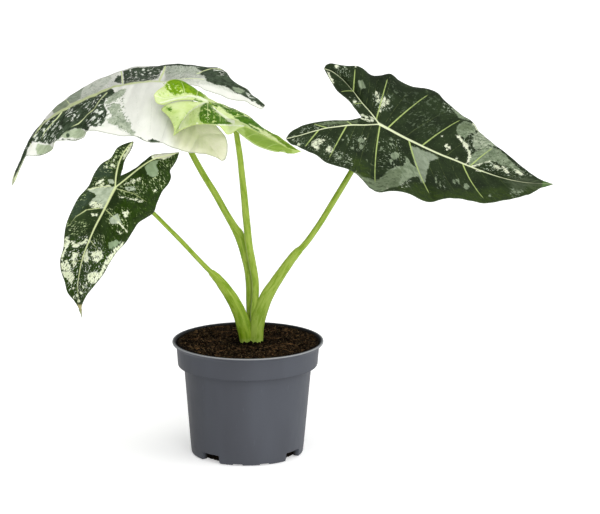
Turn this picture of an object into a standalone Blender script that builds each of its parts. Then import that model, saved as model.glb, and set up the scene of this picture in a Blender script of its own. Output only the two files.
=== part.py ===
"""A small potted alocasia with four leaves, in metres, +Z up.

The origin is the centre of the pot's flat foot.  The pot, the soil, the stem
base, four petioles and four blades are separate solids.

The leaves were surveyed from one standing point, as on a plane table: a point
on a leaf is given by two sight readings (across, down) and by how far it lies
behind (+) or in front of (-) the pot's axis, in millimetres.  sight() turns
the three into a place.
"""

import math

import bmesh
import bpy
import numpy as np
from mathutils import Vector

# ---------------------------------------------------------------- dimensions
MM = 0.001

# The survey: readings at the table's centre, at the pot's foot, and the scale.
TABLE = (300.0, 257.0)          # reading straight ahead of the standing point
FOOT = (247.3, 450.0)           # reading of the centre of the pot's foot
SCALE = 0.39                    # mm for one unit of reading at the pot's axis
DISTANCE = 1300.0               # mm from the standing point to the pot
TILT = math.radians(13.0)       # the survey looks down by this much

# The pot: a 6 cm nursery pot, turned about the Z axis.
RIM_TOP = 44.3
RIM_RADIUS = 29.25
BAND_TOP_RADIUS = 27.65         # outside of the rim's band, under the lip
BAND_BOTTOM_RADIUS = 27.1
BAND_BOTTOM = 34.9
WALL_TOP_RADIUS = 24.75
FOOT_RADIUS = 21.7
WALL = 0.9
FLOOR_TOP = 4.2
FOOT_RING = 19.6                # inner radius of the ring that the pot stands on
PAD_RADIUS = 13.0               # the flat pad in the middle of the underside
CHANNEL = 2.6                   # height of the channel between pad and ring
NOTCH_HEIGHT = 3.2              # the drain notches in the foot ring
NOTCHES = (-130.0, -35.0, 52.0, 143.0)      # degrees, from +X towards +Y
NOTCH_WIDTH = 22.0
SLIT_HEIGHT = 0.55              # two shallow vents in the front of the ring
SLITS = (-99.0, -71.0)
SLIT_WIDTH = 10.0
LEAN = 0.35 / 40.0              # the thin wall leans this much towards +X as it rises

# The soil and the stem base.
SOIL_TOP = 43.0
SOIL_GAP = 0.35
POCKET_CENTRE = (1.9, 0.1)
POCKET = (5.3, 4.3)             # half-axes of the hole that the stems stand in
POCKET_FLOOR = 31.0

BLADE_THICKNESS = 0.7
PETIOLE_GAP = 0.35


# ------------------------------------------------------------------- survey
def standing_point():
    ahead = np.array([0.0, math.cos(TILT), -math.sin(TILT)])
    up = np.array([0.0, math.sin(TILT), math.cos(TILT)])
    across = np.array([1.0, 0.0, 0.0])
    point = -(
        DISTANCE * ahead
        + (FOOT[0] - TABLE[0]) * SCALE * across
        - (FOOT[1] - TABLE[1]) * SCALE * up
    )
    return point, across, up, ahead


def sight(reading_across, reading_down, behind):
    """The place, in mm, with these readings and this Y."""
    point, across, up, ahead = standing_point()
    reach = DISTANCE / SCALE
    ray = (
        ahead
        + (reading_across - TABLE[0]) / reach * across
        - (reading_down - TABLE[1]) / reach * up
    )
    return point + ray * (behind - point[1]) / ray[1]


# ------------------------------------------------------------------- curves
def monotone(xs, ys):
    """A smooth curve through points with rising xs that never overshoots."""
    xs, ys = np.asarray(xs, float), np.asarray(ys, float)
    step = np.diff(xs)
    slope = np.diff(ys) / step
    tangent = np.zeros(len(xs))
    for i in range(1, len(xs) - 1):
        if slope[i - 1] * slope[i] > 0:
            a, b = 2 * step[i] + step[i - 1], step[i] + 2 * step[i - 1]
            tangent[i] = (a + b) / (a / slope[i - 1] + b / slope[i])
    tangent[0], tangent[-1] = slope[0], slope[-1]

    def value(x):
        x = np.clip(x, xs[0], xs[-1])
        i = np.clip(np.searchsorted(xs, x) - 1, 0, len(step) - 1)
        t = (x - xs[i]) / step[i]
        return (
            ys[i] * (1 + 2 * t) * (1 - t) ** 2
            + tangent[i] * step[i] * t * (1 - t) ** 2
            + ys[i + 1] * t * t * (3 - 2 * t)
            + tangent[i + 1] * step[i] * t * t * (t - 1)
        )

    return value


class Line:
    """A smooth line through surveyed points, read by its length from 0 to 1."""

    def __init__(self, readings, behind):
        flat = np.array(readings, float)
        run = np.concatenate(
            [[0], np.cumsum(np.hypot(*np.diff(flat, axis=0).T))]
        )
        run /= run[-1]
        depth = monotone(np.linspace(0, 1, len(behind)), behind)(run)
        self.points = np.array(
            [sight(a, d, y) for (a, d), y in zip(flat, depth)]
        )
        self.flat = flat
        self.run = run

    def at(self, t):
        """Catmull-Rom through the points."""
        t = np.atleast_1d(np.clip(t, 0, 1))
        p, s = self.points, self.run
        i = np.clip(np.searchsorted(s, t) - 1, 0, len(p) - 2)
        slope = np.gradient(p, s, axis=0) if len(p) > 2 else None
        h = (s[i + 1] - s[i])[:, None]
        x = ((t - s[i]) / h[:, 0])[:, None]
        if slope is None:
            return p[i] * (1 - x) + p[i + 1] * x
        return (
            p[i] * (1 + 2 * x) * (1 - x) ** 2
            + slope[i] * h * x * (1 - x) ** 2
            + p[i + 1] * x * x * (3 - 2 * x)
            + slope[i + 1] * h * x * x * (x - 1)
        )

    def near(self, reading):
        """Where along the line its reading is nearest to this one."""
        a, b = self.flat[:-1], self.flat[1:]
        q = np.asarray(reading, float)
        t = np.clip(
            ((q - a) * (b - a)).sum(1) / ((b - a) ** 2).sum(1), 0, 1
        )
        gap = np.hypot(*(a + t[:, None] * (b - a) - q).T)
        i = int(np.argmin(gap))
        return self.run[i] + t[i] * (self.run[i + 1] - self.run[i])


# ------------------------------------------------------------------- blades
def strip(spine, spine_at, margin, margin_at, arch, sag, across):
    """A grid of points between spine and margin.

    Each line across is a parabola that rises by arch(t) above the straight
    line between its ends, and leans back along the spine by sag(t).
    """
    a, b = spine, margin
    along = np.gradient(a + b, axis=0)
    out = b - a
    up = np.cross(along, out)
    size = np.linalg.norm(up, axis=1)
    up /= np.where(size > 1e-9, size, 1)[:, None]
    along /= np.maximum(np.linalg.norm(along, axis=1), 1e-9)[:, None]
    width = np.linalg.norm(out, axis=1)
    grid = []
    for j in range(across + 1):
        w = j / across
        hump = 4 * w * (1 - w)
        grid.append(
            a * (1 - w)
            + b * w
            + up * (hump * arch * width)[:, None]
            - along * (hump * sag * width)[:, None]
        )
    return np.array(grid).transpose(1, 0, 2)


class Blade:
    """A sagittate blade: a midrib, two lobes with a costa each, and margins.

    The left side is on the left of someone who walks from the junction to
    the tip on the upper face.
    """

    def __init__(self, junction, tip, sinus, midrib, sides):
        self.junction = sight(*junction)
        self.sides = sides
        self.midrib = Line(
            [junction[:2]] + midrib[0] + [tip[:2]],
            [junction[2]] + midrib[1] + [tip[2]],
        )
        self.lines = []
        for side in sides:
            lobe = side["lobe"]
            self.lines.append(
                (
                    Line(
                        [junction[:2]] + side["costa"][0] + [lobe[:2]],
                        [junction[2]] + side["costa"][1] + [lobe[2]],
                    ),
                    Line(
                        [lobe[:2]] + side["outer"][0] + [tip[:2]],
                        [lobe[2]] + side["outer"][1] + [tip[2]],
                    ),
                    Line(
                        [sinus[:2]] + side["inner"][0] + [lobe[:2]],
                        [sinus[2]] + side["inner"][1] + [lobe[2]],
                    ),
                )
            )

    def surface(self, rib_steps, costa_steps, across, inner_across):
        """Points and faces of the middle sheet, faces turned to the upper side."""
        points, faces = [], []
        index = {}

        def put(p):
            key = tuple(np.round(p, 5))
            if key not in index:
                index[key] = len(points)
                points.append(np.array(p))
            return index[key]

        def weave(grid, left):
            ids = [[put(p) for p in row] for row in grid]
            for i in range(len(ids) - 1):
                for j in range(len(ids[0]) - 1):
                    quad = [ids[i][j], ids[i + 1][j], ids[i + 1][j + 1], ids[i][j + 1]]
                    if not left:
                        quad.reverse()
                    ring = [q for k, q in enumerate(quad) if q != quad[k - 1]]
                    for k in range(1, len(ring) - 1):
                        face = (ring[0], ring[k], ring[k + 1])
                        if len(set(face)) == 3:
                            faces.append(face)

        along_rib = np.linspace(0, 1, rib_steps + 1)
        along_costa = np.linspace(0, 1, costa_steps + 1)
        rib = self.midrib.at(along_rib)
        for number, (side, lines) in enumerate(zip(self.sides, self.lines)):
            costa, outer, inner = lines
            left = number == 0
            arm = costa.at(along_costa)
            # the outer strip runs from the lobe's tip to the blade's tip
            spine = np.concatenate([arm[::-1], rib[1:]])
            place = np.concatenate([-along_costa[::-1], along_rib[1:]])
            pairs = [(-1.0, 0.0)]
            for root, end in side["veins_lobe"]:
                pairs.append((-costa.near(root), outer.near(end)))
            pairs.append((0.0, outer.near(side["abeam"])))
            for root, end in side["veins_blade"]:
                pairs.append((self.midrib.near(root), outer.near(end)))
            pairs.append((1.0, 1.0))
            reach = monotone(*zip(*pairs))
            edge = outer.at(reach(place))
            fade = np.minimum(1, 4 * np.minimum(place + 1, 1 - place))
            weave(
                strip(spine, place, edge, None, side["arch"] * fade, side["sag"] * fade, across),
                left,
            )
            # the inner strip runs from the sinus to the lobe's tip
            pairs = [(0.0, 0.0)]
            for root, end in side["veins_inner"]:
                pairs.append((costa.near(root), inner.near(end)))
            pairs.append((1.0, 1.0))
            edge = inner.at(monotone(*zip(*pairs))(along_costa))
            fade = np.minimum(1, 4 * np.minimum(along_costa, 1 - along_costa))
            weave(
                strip(arm, along_costa, edge, None, side["arch"] * fade, 0 * fade, inner_across),
                left,
            )
        return np.array(points), faces


def normals(points, faces):
    found = np.zeros_like(points)
    corners = points[np.array(faces)]
    area = np.cross(corners[:, 1] - corners[:, 0], corners[:, 2] - corners[:, 0])
    for k in range(3):
        np.add.at(found, np.array(faces)[:, k], area)
    return found / np.linalg.norm(found, axis=1)[:, None]


def thicken(points, faces, thickness):
    """A closed sheet: the upper face lifted, the lower face lowered, and the rim."""
    up = normals(points, faces)
    count = len(points)
    both = np.concatenate([points + up * thickness / 2, points - up * thickness / 2])
    shell = [tuple(f) for f in faces] + [
        (f[0] + count, f[2] + count, f[1] + count) for f in faces
    ]
    edges = {}
    for f in faces:
        for a, b in ((f[0], f[1]), (f[1], f[2]), (f[2], f[0])):
            edges[(a, b)] = True
    for a, b in list(edges):
        if (b, a) not in edges:
            shell.append((b, a, a + count))
            shell.append((b, a + count, b + count))
    return both, shell


# ------------------------------------------------------------------ the leaves
def leaf_large():
    """The large arched leaf at the back left, folded like a low roof."""
    return Blade(
        junction=(162, 82, 10),
        tip=(11.8, 186.0, -9),
        sinus=(177, 87, 8.5),
        midrib=(
            [(150, 82), (135, 83.6), (122.5, 85.5), (113.8, 87.7), (97.6, 94.2), (81.3, 101.8),
             (69.4, 107.2), (56, 115), (43, 124), (33, 138), (24, 155.5), (17, 171)],
            [9.5, 8.5, 6.5, 3.5, 0, -3, -6],
        ),
        sides=[
            dict(  # the near half, which slopes towards the standing point
                lobe=(221.8, 161.0, -19),
                costa=([(171, 93), (184, 112), (199, 133), (211, 148.5)], [5, -2, -9, -15]),
                outer=(
                    [(217.2, 158.2), (211, 155.0), (196.6, 153.3), (185.8, 151.7), (171.7, 147.3),
                     (159.4, 142.6), (151.8, 142.4), (145.3, 141.4), (135.5, 136.5), (122.5, 136),
                     (108.4, 133.8), (92.2, 130.8), (86.7, 131.4), (83.5, 137.6), (78, 140.3),
                     (65, 140.3), (54.6, 141.9), (52.6, 149.0), (46.6, 153.3), (34.7, 156.2),
                     (26.5, 156.4), (21.5, 165.0), (16, 176)],
                    [-20, -20, -19, -18, -17, -16, -14, -12, -9, -8.5],
                ),
                inner=(
                    [(190, 98), (203, 112), (214, 123.5), (221.4, 131.5), (225.9, 137.6),
                     (227.6, 148.4), (226.6, 155.8), (224.8, 160.2)],
                    [2, -5, -11, -15, -18],
                ),
                veins_inner=[((184, 112), (203, 112)), ((199, 133), (224, 135))],
                veins_lobe=[((199, 133), (190, 152.5)), ((184, 112), (172, 147.3))],
                abeam=(143, 140.5),
                veins_blade=[
                    ((135, 83.6), (112, 134.5)),
                    ((120.8, 86), (92.2, 130.8)),
                    ((97.6, 94.2), (72, 140.3)),
                    ((69.4, 107.2), (46.6, 153.3)),
                    ((43, 124), (26.5, 156.4)),
                ],
                arch=0.07,
                sag=0.03,
            ),
            dict(  # the far half, nearly level, seen along its surface
                lobe=(265.2, 105.4, 30),
                costa=([(178, 79.5), (196, 78.5), (215, 82.5), (233, 90), (250, 98.5)],
                       [15, 22, 26, 29]),
                outer=(
                    [(259.5, 100.0), (251.9, 94.6), (247.6, 89.9), (236.7, 83.4), (230.2, 77.9),
                     (225.9, 72.5), (219.4, 68.2), (211.8, 67.1), (202, 66.9), (191, 64.9),
                     (177, 64), (166.3, 64.9), (151.8, 66.4), (133.3, 67.1), (120.3, 70.9),
                     (108.4, 75.8), (92, 82.3), (78, 91), (65, 99.6), (52, 110.5), (43.4, 121.3),
                     (31.4, 135.4), (26.2, 147), (20.5, 160), (14.2, 173)],
                    [33, 36, 38, 38, 38, 36, 32, 25, 16, 5, -5],
                ),
                inner=(
                    [(186, 84.5), (196.6, 86.0), (206.4, 90.4), (217.2, 94.2), (230.2, 99.1),
                     (236.7, 100.5), (245.4, 101.8), (254, 106), (262.2, 108.9)],
                    [12, 16, 20, 24, 28],
                ),
                veins_inner=[((196, 78.5), (200, 87.4)), ((233, 90), (236.7, 100.5))],
                veins_lobe=[((233, 90), (240, 85.5)), ((196, 78.5), (202, 66.9))],
                abeam=(164, 65.1),
                veins_blade=[
                    ((122.5, 85.5), (120.3, 70.9)),
                    ((97.6, 94.2), (88, 84.7)),
                    ((69.4, 107.2), (58, 105.3)),
                    ((43, 124), (33, 133.3)),
                ],
                arch=0.05,
                sag=0.02,
            ),
        ],
    )


def leaf_young():
    """The young leaf in front: a shallow boat whose near margin turns up."""
    return Blade(
        junction=(207.2, 102.3, -10),
        tip=(301.0, 151.5, -23),
        sinus=(201.5, 102.8, -10.2),
        midrib=(
            [(215, 110.7), (223, 117), (231, 123.4), (239, 130.6), (247, 137), (258, 144.2),
             (266.7, 147.6), (278, 150.4), (289.6, 151.7)],
            [-12.5, -15, -17, -19, -21],
        ),
        sides=[
            dict(  # the far half
                lobe=(153.8, 95.0, -12),
                costa=([(196, 97.6), (185, 96.6), (174.4, 97.7), (164, 98.5)], [-9.5, -9.5, -10.5]),
                outer=(
                    [(156.6, 91.4), (163.5, 86.4), (167.6, 81.6), (174.4, 79.5), (183.6, 81.4),
                     (193.4, 87.9), (201.0, 94.0), (206.8, 99.4), (213.0, 102.6), (220.5, 105.2),
                     (232, 108.8), (240.8, 112.2), (247.1, 115.1), (256.3, 122.6), (263.8, 128.3),
                     (272.4, 133.5), (278, 135.7), (282.7, 139.2), (288, 143.2), (294.6, 147.6)],
                    [-8, -4, -1, 0, -1, -3, -6, -10, -14, -18.5],
                ),
                inner=(
                    [(193, 100.4), (183, 100.0), (173, 101.6), (163.5, 104.8), (156.8, 103.0)],
                    [-10.6, -11, -11.4, -12],
                ),
                veins_inner=[((185, 96.6), (181, 100.2))],
                veins_lobe=[((185, 96.6), (180, 80.5)), ((196, 97.6), (196.5, 90.3))],
                abeam=(206.5, 99.2),
                veins_blade=[
                    ((215, 110.7), (232, 108.8)),
                    ((227, 120.2), (250, 117.5)),
                    ((247, 137), (268, 131)),
                    ((266.7, 147.6), (284, 140.2)),
                ],
                arch=0.10,
                sag=0.0,
            ),
            dict(  # the near half
                lobe=(173.4, 135.8, -20.5),
                costa=([(199, 105.2), (193.4, 109.0), (186.9, 116), (180.4, 125.6), (176, 131.8)],
                       [-12.5, -15, -18]),
                outer=(
                    [(177, 132.4), (182.5, 129.4), (193.4, 125.2), (201.5, 124.2), (212.3, 124.6),
                     (223, 125.4), (233.9, 126.2), (244.3, 125.8), (250, 128.6), (255.2, 131.5),
                     (260.9, 134.4), (269.5, 138.4), (278.1, 142.6), (286.7, 147.4), (294, 150.0)],
                    [-22, -24, -25.5, -26.5, -27, -27.5, -27.5, -27, -26, -24.5],
                ),
                inner=(
                    [(193, 101.6), (183, 101.4), (173, 103.2), (164, 106.6), (161.4, 109.4),
                     (165, 113.2), (169.4, 118), (173, 125), (174.2, 130)],
                    [-11, -12.2, -13, -14, -16, -18.5],
                ),
                veins_inner=[((199, 105.2), (190, 101.4)), ((193.4, 109.0), (164, 106.6)),
                             ((186.9, 116), (168, 116.5))],
                veins_lobe=[((186.9, 116), (188, 127.2)), ((199, 105.2), (200, 124.3))],
                abeam=(207.5, 124.3),
                veins_blade=[
                    ((215, 110.7), (220, 125.2)),
                    ((231, 123.4), (244.3, 125.8)),
                    ((247, 137), (261, 134.4)),
                    ((266.7, 147.6), (280, 143.6)),
                ],
                arch=-0.10,
                sag=0.0,
            ),
        ],
    )


def leaf_right():
    """The dark leaf on the right, tilted towards the standing point."""

    def plane(a, d):
        return 2 + 0.102 * (a - 379) - 0.4165 * (d - 124)

    def depths(readings, extra=0.0):
        return [plane(a, d) + extra for a, d in readings]

    upper = [
        (325.5, 65.6), (329.8, 63.4), (336, 64.2), (344, 65.7), (358.8, 66.6), (366.2, 71.3), (373.6, 75.7),
        (381, 75.5), (390.2, 74.2), (399.5, 80.5), (410.6, 86.1), (429, 89.2), (438.3, 93.5),
        (443.8, 99.9), (453.1, 108.3), (464.2, 116.6), (473.4, 123), (479, 131.4), (491.9, 142.5),
        (504.9, 152.6), (519.7, 164.7), (532.6, 174.8), (543.7, 181.0),
    ]
    lower = [
        (290, 143.2), (297.7, 146.6), (307, 150.8), (318.1, 156.3), (325.5, 161.9), (336.6, 165.6),
        (349.5, 170.2), (355.1, 173), (362.5, 179.5), (369.9, 187.8), (379.1, 192), (388.4, 190.9),
        (399.5, 191.5), (410.6, 194.3), (423.5, 200.7), (432.8, 201.7), (443.8, 198.9),
        (454.9, 198), (469.7, 200.7), (484.5, 203.1), (491.9, 202.6), (510.4, 198.9),
        (528.9, 194.3), (541.9, 187.8),
    ]
    return Blade(
        junction=(379, 124, 2),
        tip=(553.4, 184.1, -6),
        sinus=(361.5, 117.5, 1.5),
        midrib=(
            [(395.8, 133.2), (421.7, 146.2), (438, 153.6), (454.9, 160.4), (469.7, 166.5),
             (485, 172.4), (501.2, 177.6), (515, 180.8), (528.9, 182.9), (542, 183.6)],
            [0.5, -2.5, -4.5, -5.5, -6, -6],
        ),
        sides=[
            dict(  # the upper half
                lobe=(324.0, 68.6, 17.5),
                costa=([(373, 115.7), (362.5, 103.6), (353.2, 91.6), (340.3, 77.7), (331, 71.0)],
                       [6, 11, 15.5, 17.5]),
                outer=(upper, [19, 21, 21.5, 21, 18.5, 15, 9.5, 3.5, -1.5, -4.5]),
                inner=(
                    [(357.4, 111.5), (347.7, 99.9), (336.6, 89.8), (332, 83.3), (327.0, 74.4)],
                    [4, 8.5, 12.5, 15.5],
                ),
                veins_inner=[((362.5, 103.6), (352, 105)), ((353.2, 91.6), (339, 92))],
                veins_lobe=[((353.5, 92), (355, 66.5)), ((366, 107.5), (372, 75))],
                abeam=(380, 75.6),
                veins_blade=[
                    ((381, 125), (391, 74.6)),
                    ((388.4, 128.8), (429, 89.2)),
                    ((422.6, 146.6), (464.2, 116.6)),
                    ((469.7, 166.5), (495, 145)),
                    ((505, 178.6), (528, 171.4)),
                ],
                arch=0.055,
                sag=0.03,
            ),
            dict(  # the lower half
                lobe=(285.9, 138.8, -9),
                costa=([(365, 124.9), (352, 124.9), (340.3, 126.2), (327, 128.0), (314, 131.2), (300, 135.4)],
                       [1, -0.5, -2.5, -5, -7.5]),
                outer=(lower, [-11.5, -16, -19.5, -24, -25, -24.5, -24, -22.5, -19, -11]),
                inner=(
                    [(349.5, 119.9), (332.9, 120.3), (316.2, 122.1), (299.6, 126.8), (289.0, 133.8)],
                    [0.5, -1, -3, -5.5, -8],
                ),
                veins_inner=[((352, 124.9), (346, 119.9)), ((327, 128.0), (312, 123.2))],
                veins_lobe=[((327, 128.0), (318.1, 156.3)), ((346.8, 125.4), (334, 165)),
                            ((365, 124.9), (355, 173))],
                abeam=(365, 182.5),
                veins_blade=[
                    ((380, 124.8), (377, 191.6)),
                    ((407, 139.6), (430, 201.7)),
                    ((436, 152.8), (459, 198.5)),
                    ((461, 162.8), (490, 202.8)),
                    ((497, 176.4), (521, 196.4)),
                ],
                arch=0.055,
                sag=0.02,
            ),
        ],
    )


def leaf_hanging():
    """The speckled leaf at the lower left, which hangs with its tip down."""
    return Blade(
        junction=(115.6, 187, -10),
        tip=(82.0, 317.8, -31),
        sinus=(120.6, 175.6, -8.5),
        midrib=(
            [(108.9, 200.4), (102.2, 213.7), (95.5, 226.5), (88.8, 241.9), (83.5, 256),
             (80.1, 270), (78.1, 284), (78.6, 300)],
            [-12, -15, -19, -23.5, -27.5],
        ),
        sides=[
            dict(  # the half on the right of the picture
                lobe=(179.2, 152.3, -9),
                costa=([(124, 180.5), (131.4, 174.6), (142.4, 166), (153.1, 159.5), (167, 155.6)],
                       [-9.5, -9, -8.7]),
                outer=(
                    [(177.4, 158.5), (173.5, 165.5), (170.2, 170.5), (171.0, 177.0), (168.6, 183.5),
                     (162.5, 191), (157.1, 203), (153.1, 213.2), (146.4, 217.8), (138.4, 223.1),
                     (133, 231.2), (126.3, 241.9), (115.6, 253.9), (108.9, 264.6), (103.6, 274),
                     (94.2, 286), (85.4, 297.6), (81.6, 307.5)],
                    [-10, -12, -15, -17.5, -19, -21, -23.5, -26, -28.5],
                ),
                inner=(
                    [(125.5, 173.8), (133, 169.6), (143.7, 161.8), (152.5, 155.0), (161.2, 153.6),
                     (170.5, 152.9)],
                    [-8.3, -8, -8, -8.5],
                ),
                veins_inner=[((142.4, 166), (140, 164.5))],
                veins_lobe=[((150, 161.4), (166, 187)), ((135, 171.8), (155.5, 207))],
                abeam=(148, 216.6),
                veins_blade=[
                    ((107.5, 203), (128.8, 238)),
                    ((95.5, 226.5), (112, 259.5)),
                    ((83.5, 256), (94.2, 286)),
                ],
                arch=0.06,
                sag=0.03,
            ),
            dict(  # the half on the left of the picture
                lobe=(133.4, 141.4, -3.5),
                costa=([(116.2, 176.4), (119.2, 162.5), (124, 152.5), (129.5, 145)], [-8, -6, -4.5]),
                outer=(
                    [(126.3, 143.2), (117.6, 147.6), (110.9, 157.6), (101.5, 163.6), (94.2, 173.6),
                     (88.8, 185.6), (78.6, 197.3), (71.4, 211.1), (66.1, 224.5), (64.1, 236.5),
                     (63.2, 248.6), (60.2, 259.3), (60.7, 270), (64.7, 282), (67.6, 292.8),
                     (74.1, 300.8), (78.6, 308.0)],
                    [-5, -6.5, -8.5, -10.5, -13, -16, -19.5, -23.5, -27.5],
                ),
                inner=(
                    [(123, 166.9), (125.4, 158.8), (130.4, 150.8), (133.0, 145)],
                    [-7.5, -6, -4.5],
                ),
                veins_inner=[((119.2, 162.5), (124.4, 161.5))],
                veins_lobe=[((119.8, 161), (108, 159.6)), ((116.8, 173.5), (94.2, 173.6))],
                abeam=(88.8, 186),
                veins_blade=[
                    ((107, 204.4), (74, 206)),
                    ((95.5, 226.5), (64.8, 231.5)),
                    ((83.5, 256), (60.7, 270)),
                ],
                arch=0.06,
                sag=0.03,
            ),
        ],
    )


# ----------------------------------------------------------------- petioles
# readings across and down, Y, half-width across the view, half-depth, in mm
PETIOLES = {
    "petiole_large_leaf": [
        (251.0, 352, 2.1, 1.5, 1.15), (251.0, 340, 2.1, 1.5, 1.15), (250.8, 320, 2.0, 1.5, 1.15),
        (250.4, 300, 1.8, 1.4, 1.15), (249.8, 284, 1.6, 1.3, 1.2), (248.3, 270, 1.7, 1.3, 1.2),
        (245.4, 255, 1.9, 1.35, 1.2), (241.4, 241, 2.1, 1.45, 1.15), (236.6, 230.5, 2.4, 1.45, 1.1),
        (231.6, 223, 2.8, 1.15, 1.05), (224.6, 213, 3.3, 1.05, 1.0), (213.7, 195, 4.2, 1.0, 1.0),
        (202, 174, 5.0, 1.0, 1.0), (190.6, 152, 6.0, 0.98, 0.98), (180.2, 129, 7.2, 0.95, 0.95),
        (171.4, 106, 8.6, 0.95, 0.95),
    ],
    "petiole_young_leaf": [
        (252.7, 352, -1.3, 0.95, 1.1), (252.7, 340, -1.3, 0.95, 1.1), (252.9, 325, -1.2, 0.95, 1.1),
        (253.6, 311, -1.1, 1.1, 1.1), (255.6, 296, -1.0, 1.2, 1.1), (255.4, 281, -1.2, 1.15, 1.1),
        (253.7, 264, -1.7, 1.15, 1.1), (250.5, 245, -2.3, 1.15, 1.1), (247.6, 224, -3.0, 1.15, 1.1),
        (244.7, 200, -4.0, 1.1, 1.05), (242.2, 176, -5.0, 1.05, 1.0), (239.9, 155, -5.8, 1.0, 1.0),
        (237.8, 141, -6.3, 0.98, 0.95), (236.0, 131.5, -6.8, 0.95, 0.9), (231.6, 122.6, -7.2, 0.9, 0.85),
        (223.6, 114.0, -7.4, 0.85, 0.8), (214.6, 108.0, -7.6, 0.8, 0.75),
    ],
    "petiole_right_leaf": [
        (259.8, 352, -1.0, 1.3, 1.6), (259.8, 340, -1.0, 1.3, 1.6), (260.2, 326, -1.0, 1.5, 1.6),
        (262.4, 311, -1.1, 1.8, 1.6), (267.2, 296, -1.1, 1.95, 1.5), (275.4, 281.5, -1.0, 1.7, 1.4),
        (284.7, 268, -0.9, 1.5, 1.3), (294.2, 256, -0.7, 1.25, 1.15), (302.6, 245.8, -0.5, 1.05, 1.05),
        (314.7, 228.2, -0.2, 1.02, 1.02), (331.5, 201.6, 0.4, 1.0, 1.0), (350.0, 172.8, 1.4, 0.95, 0.95),
        (364.5, 148.5, 2.8, 0.92, 0.92),
    ],
    "petiole_hanging_leaf": [
        (244.6, 352, -1.2, 1.45, 1.6), (244.6, 340, -1.2, 1.45, 1.6), (243.0, 326, -1.4, 1.75, 1.6),
        (239.8, 312, -1.7, 1.9, 1.5), (234.4, 301, -2.1, 1.85, 1.4), (225.9, 288, -2.9, 1.75, 1.3),
        (218.0, 277.8, -3.6, 1.35, 1.15), (210.6, 269.8, -4.1, 1.0, 1.0), (196.8, 257.4, -5.0, 0.95, 0.95),
        (180, 240.8, -6.1, 0.9, 0.9), (166, 226.6, -7.0, 0.82, 0.82), (152.6, 213, -7.7, 0.78, 0.78),
        (139, 201.4, -8.2, 0.76, 0.76), (127.5, 192.6, -8.6, 0.76, 0.76),
    ],
}


def tube(stations, top, top_normal, sides, steps):
    """A closed tube with oval sections; its last ring lies flat under the blade."""
    centres = np.array([sight(a, d, y) for a, d, y, _, _ in stations] + [top])
    last = stations[-1]
    half = np.array([(w, h) for *_, w, h in stations] + [(last[3], last[4])])
    run = np.concatenate([[0], np.cumsum(np.linalg.norm(np.diff(centres, axis=0), axis=1))])
    slope = np.gradient(centres, run, axis=0)
    rings = []
    for k in range(len(centres)):
        rings.append((centres[k], slope[k], half[k]))
        if steps > 1 and k < len(centres) - 1:
            for s in range(1, steps):
                x = s / steps
                h = run[k + 1] - run[k]
                p = (
                    centres[k] * (1 + 2 * x) * (1 - x) ** 2
                    + slope[k] * h * x * (1 - x) ** 2
                    + centres[k + 1] * x * x * (3 - 2 * x)
                    + slope[k + 1] * h * x * x * (x - 1)
                )
                t = slope[k] * (1 - x) + slope[k + 1] * x
                rings.append((p, t, half[k] * (1 - x) + half[k + 1] * x))
    points, faces = [], []
    for number, (centre, tangent, (w, h)) in enumerate(rings):
        axis = tangent / np.linalg.norm(tangent)
        if number == 0:
            axis = np.array([0.0, 0.0, 1.0])
        if number == len(rings) - 1:
            axis = top_normal if np.dot(top_normal, axis) > 0 else -top_normal
        side = np.cross(axis, np.array([0.0, 1.0, 0.0]))
        side /= np.linalg.norm(side)
        front = np.cross(side, axis)
        for s in range(sides):
            angle = 2 * math.pi * s / sides
            points.append(centre + side * w * math.cos(angle) + front * h * math.sin(angle))
    for r in range(len(rings) - 1):
        for s in range(sides):
            a, b = r * sides + s, r * sides + (s + 1) % sides
            faces.append((a, b, b + sides, a + sides))
    faces.append(tuple(range(sides))[::-1])
    faces.append(tuple(range((len(rings) - 1) * sides, len(rings) * sides)))
    return np.array(points), faces


# --------------------------------------------------------------- turned pieces
def turned(count, angles, place):
    """A closed turned body: its profile goes from the axis round to the axis again.

    place(k, angle) gives (x, y, z) of point k of the profile's count points; the
    first and last points are on the axis.
    """
    points, faces, first = [place(0, angles[0])], [], 0
    for k in range(1, count - 1):
        for angle in angles:
            points.append(place(k, angle))
    points.append(place(count - 1, angles[0]))
    n = len(angles)
    last = len(points) - 1
    for s in range(n):
        t = (s + 1) % n
        faces.append((first, 1 + t, 1 + s))
        for k in range(count - 3):
            a, b = 1 + k * n + s, 1 + k * n + t
            faces.append((a, b, b + n, a + n))
        faces.append((1 + (count - 3) * n + s, 1 + (count - 3) * n + t, last))
    return np.array(points), faces


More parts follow.
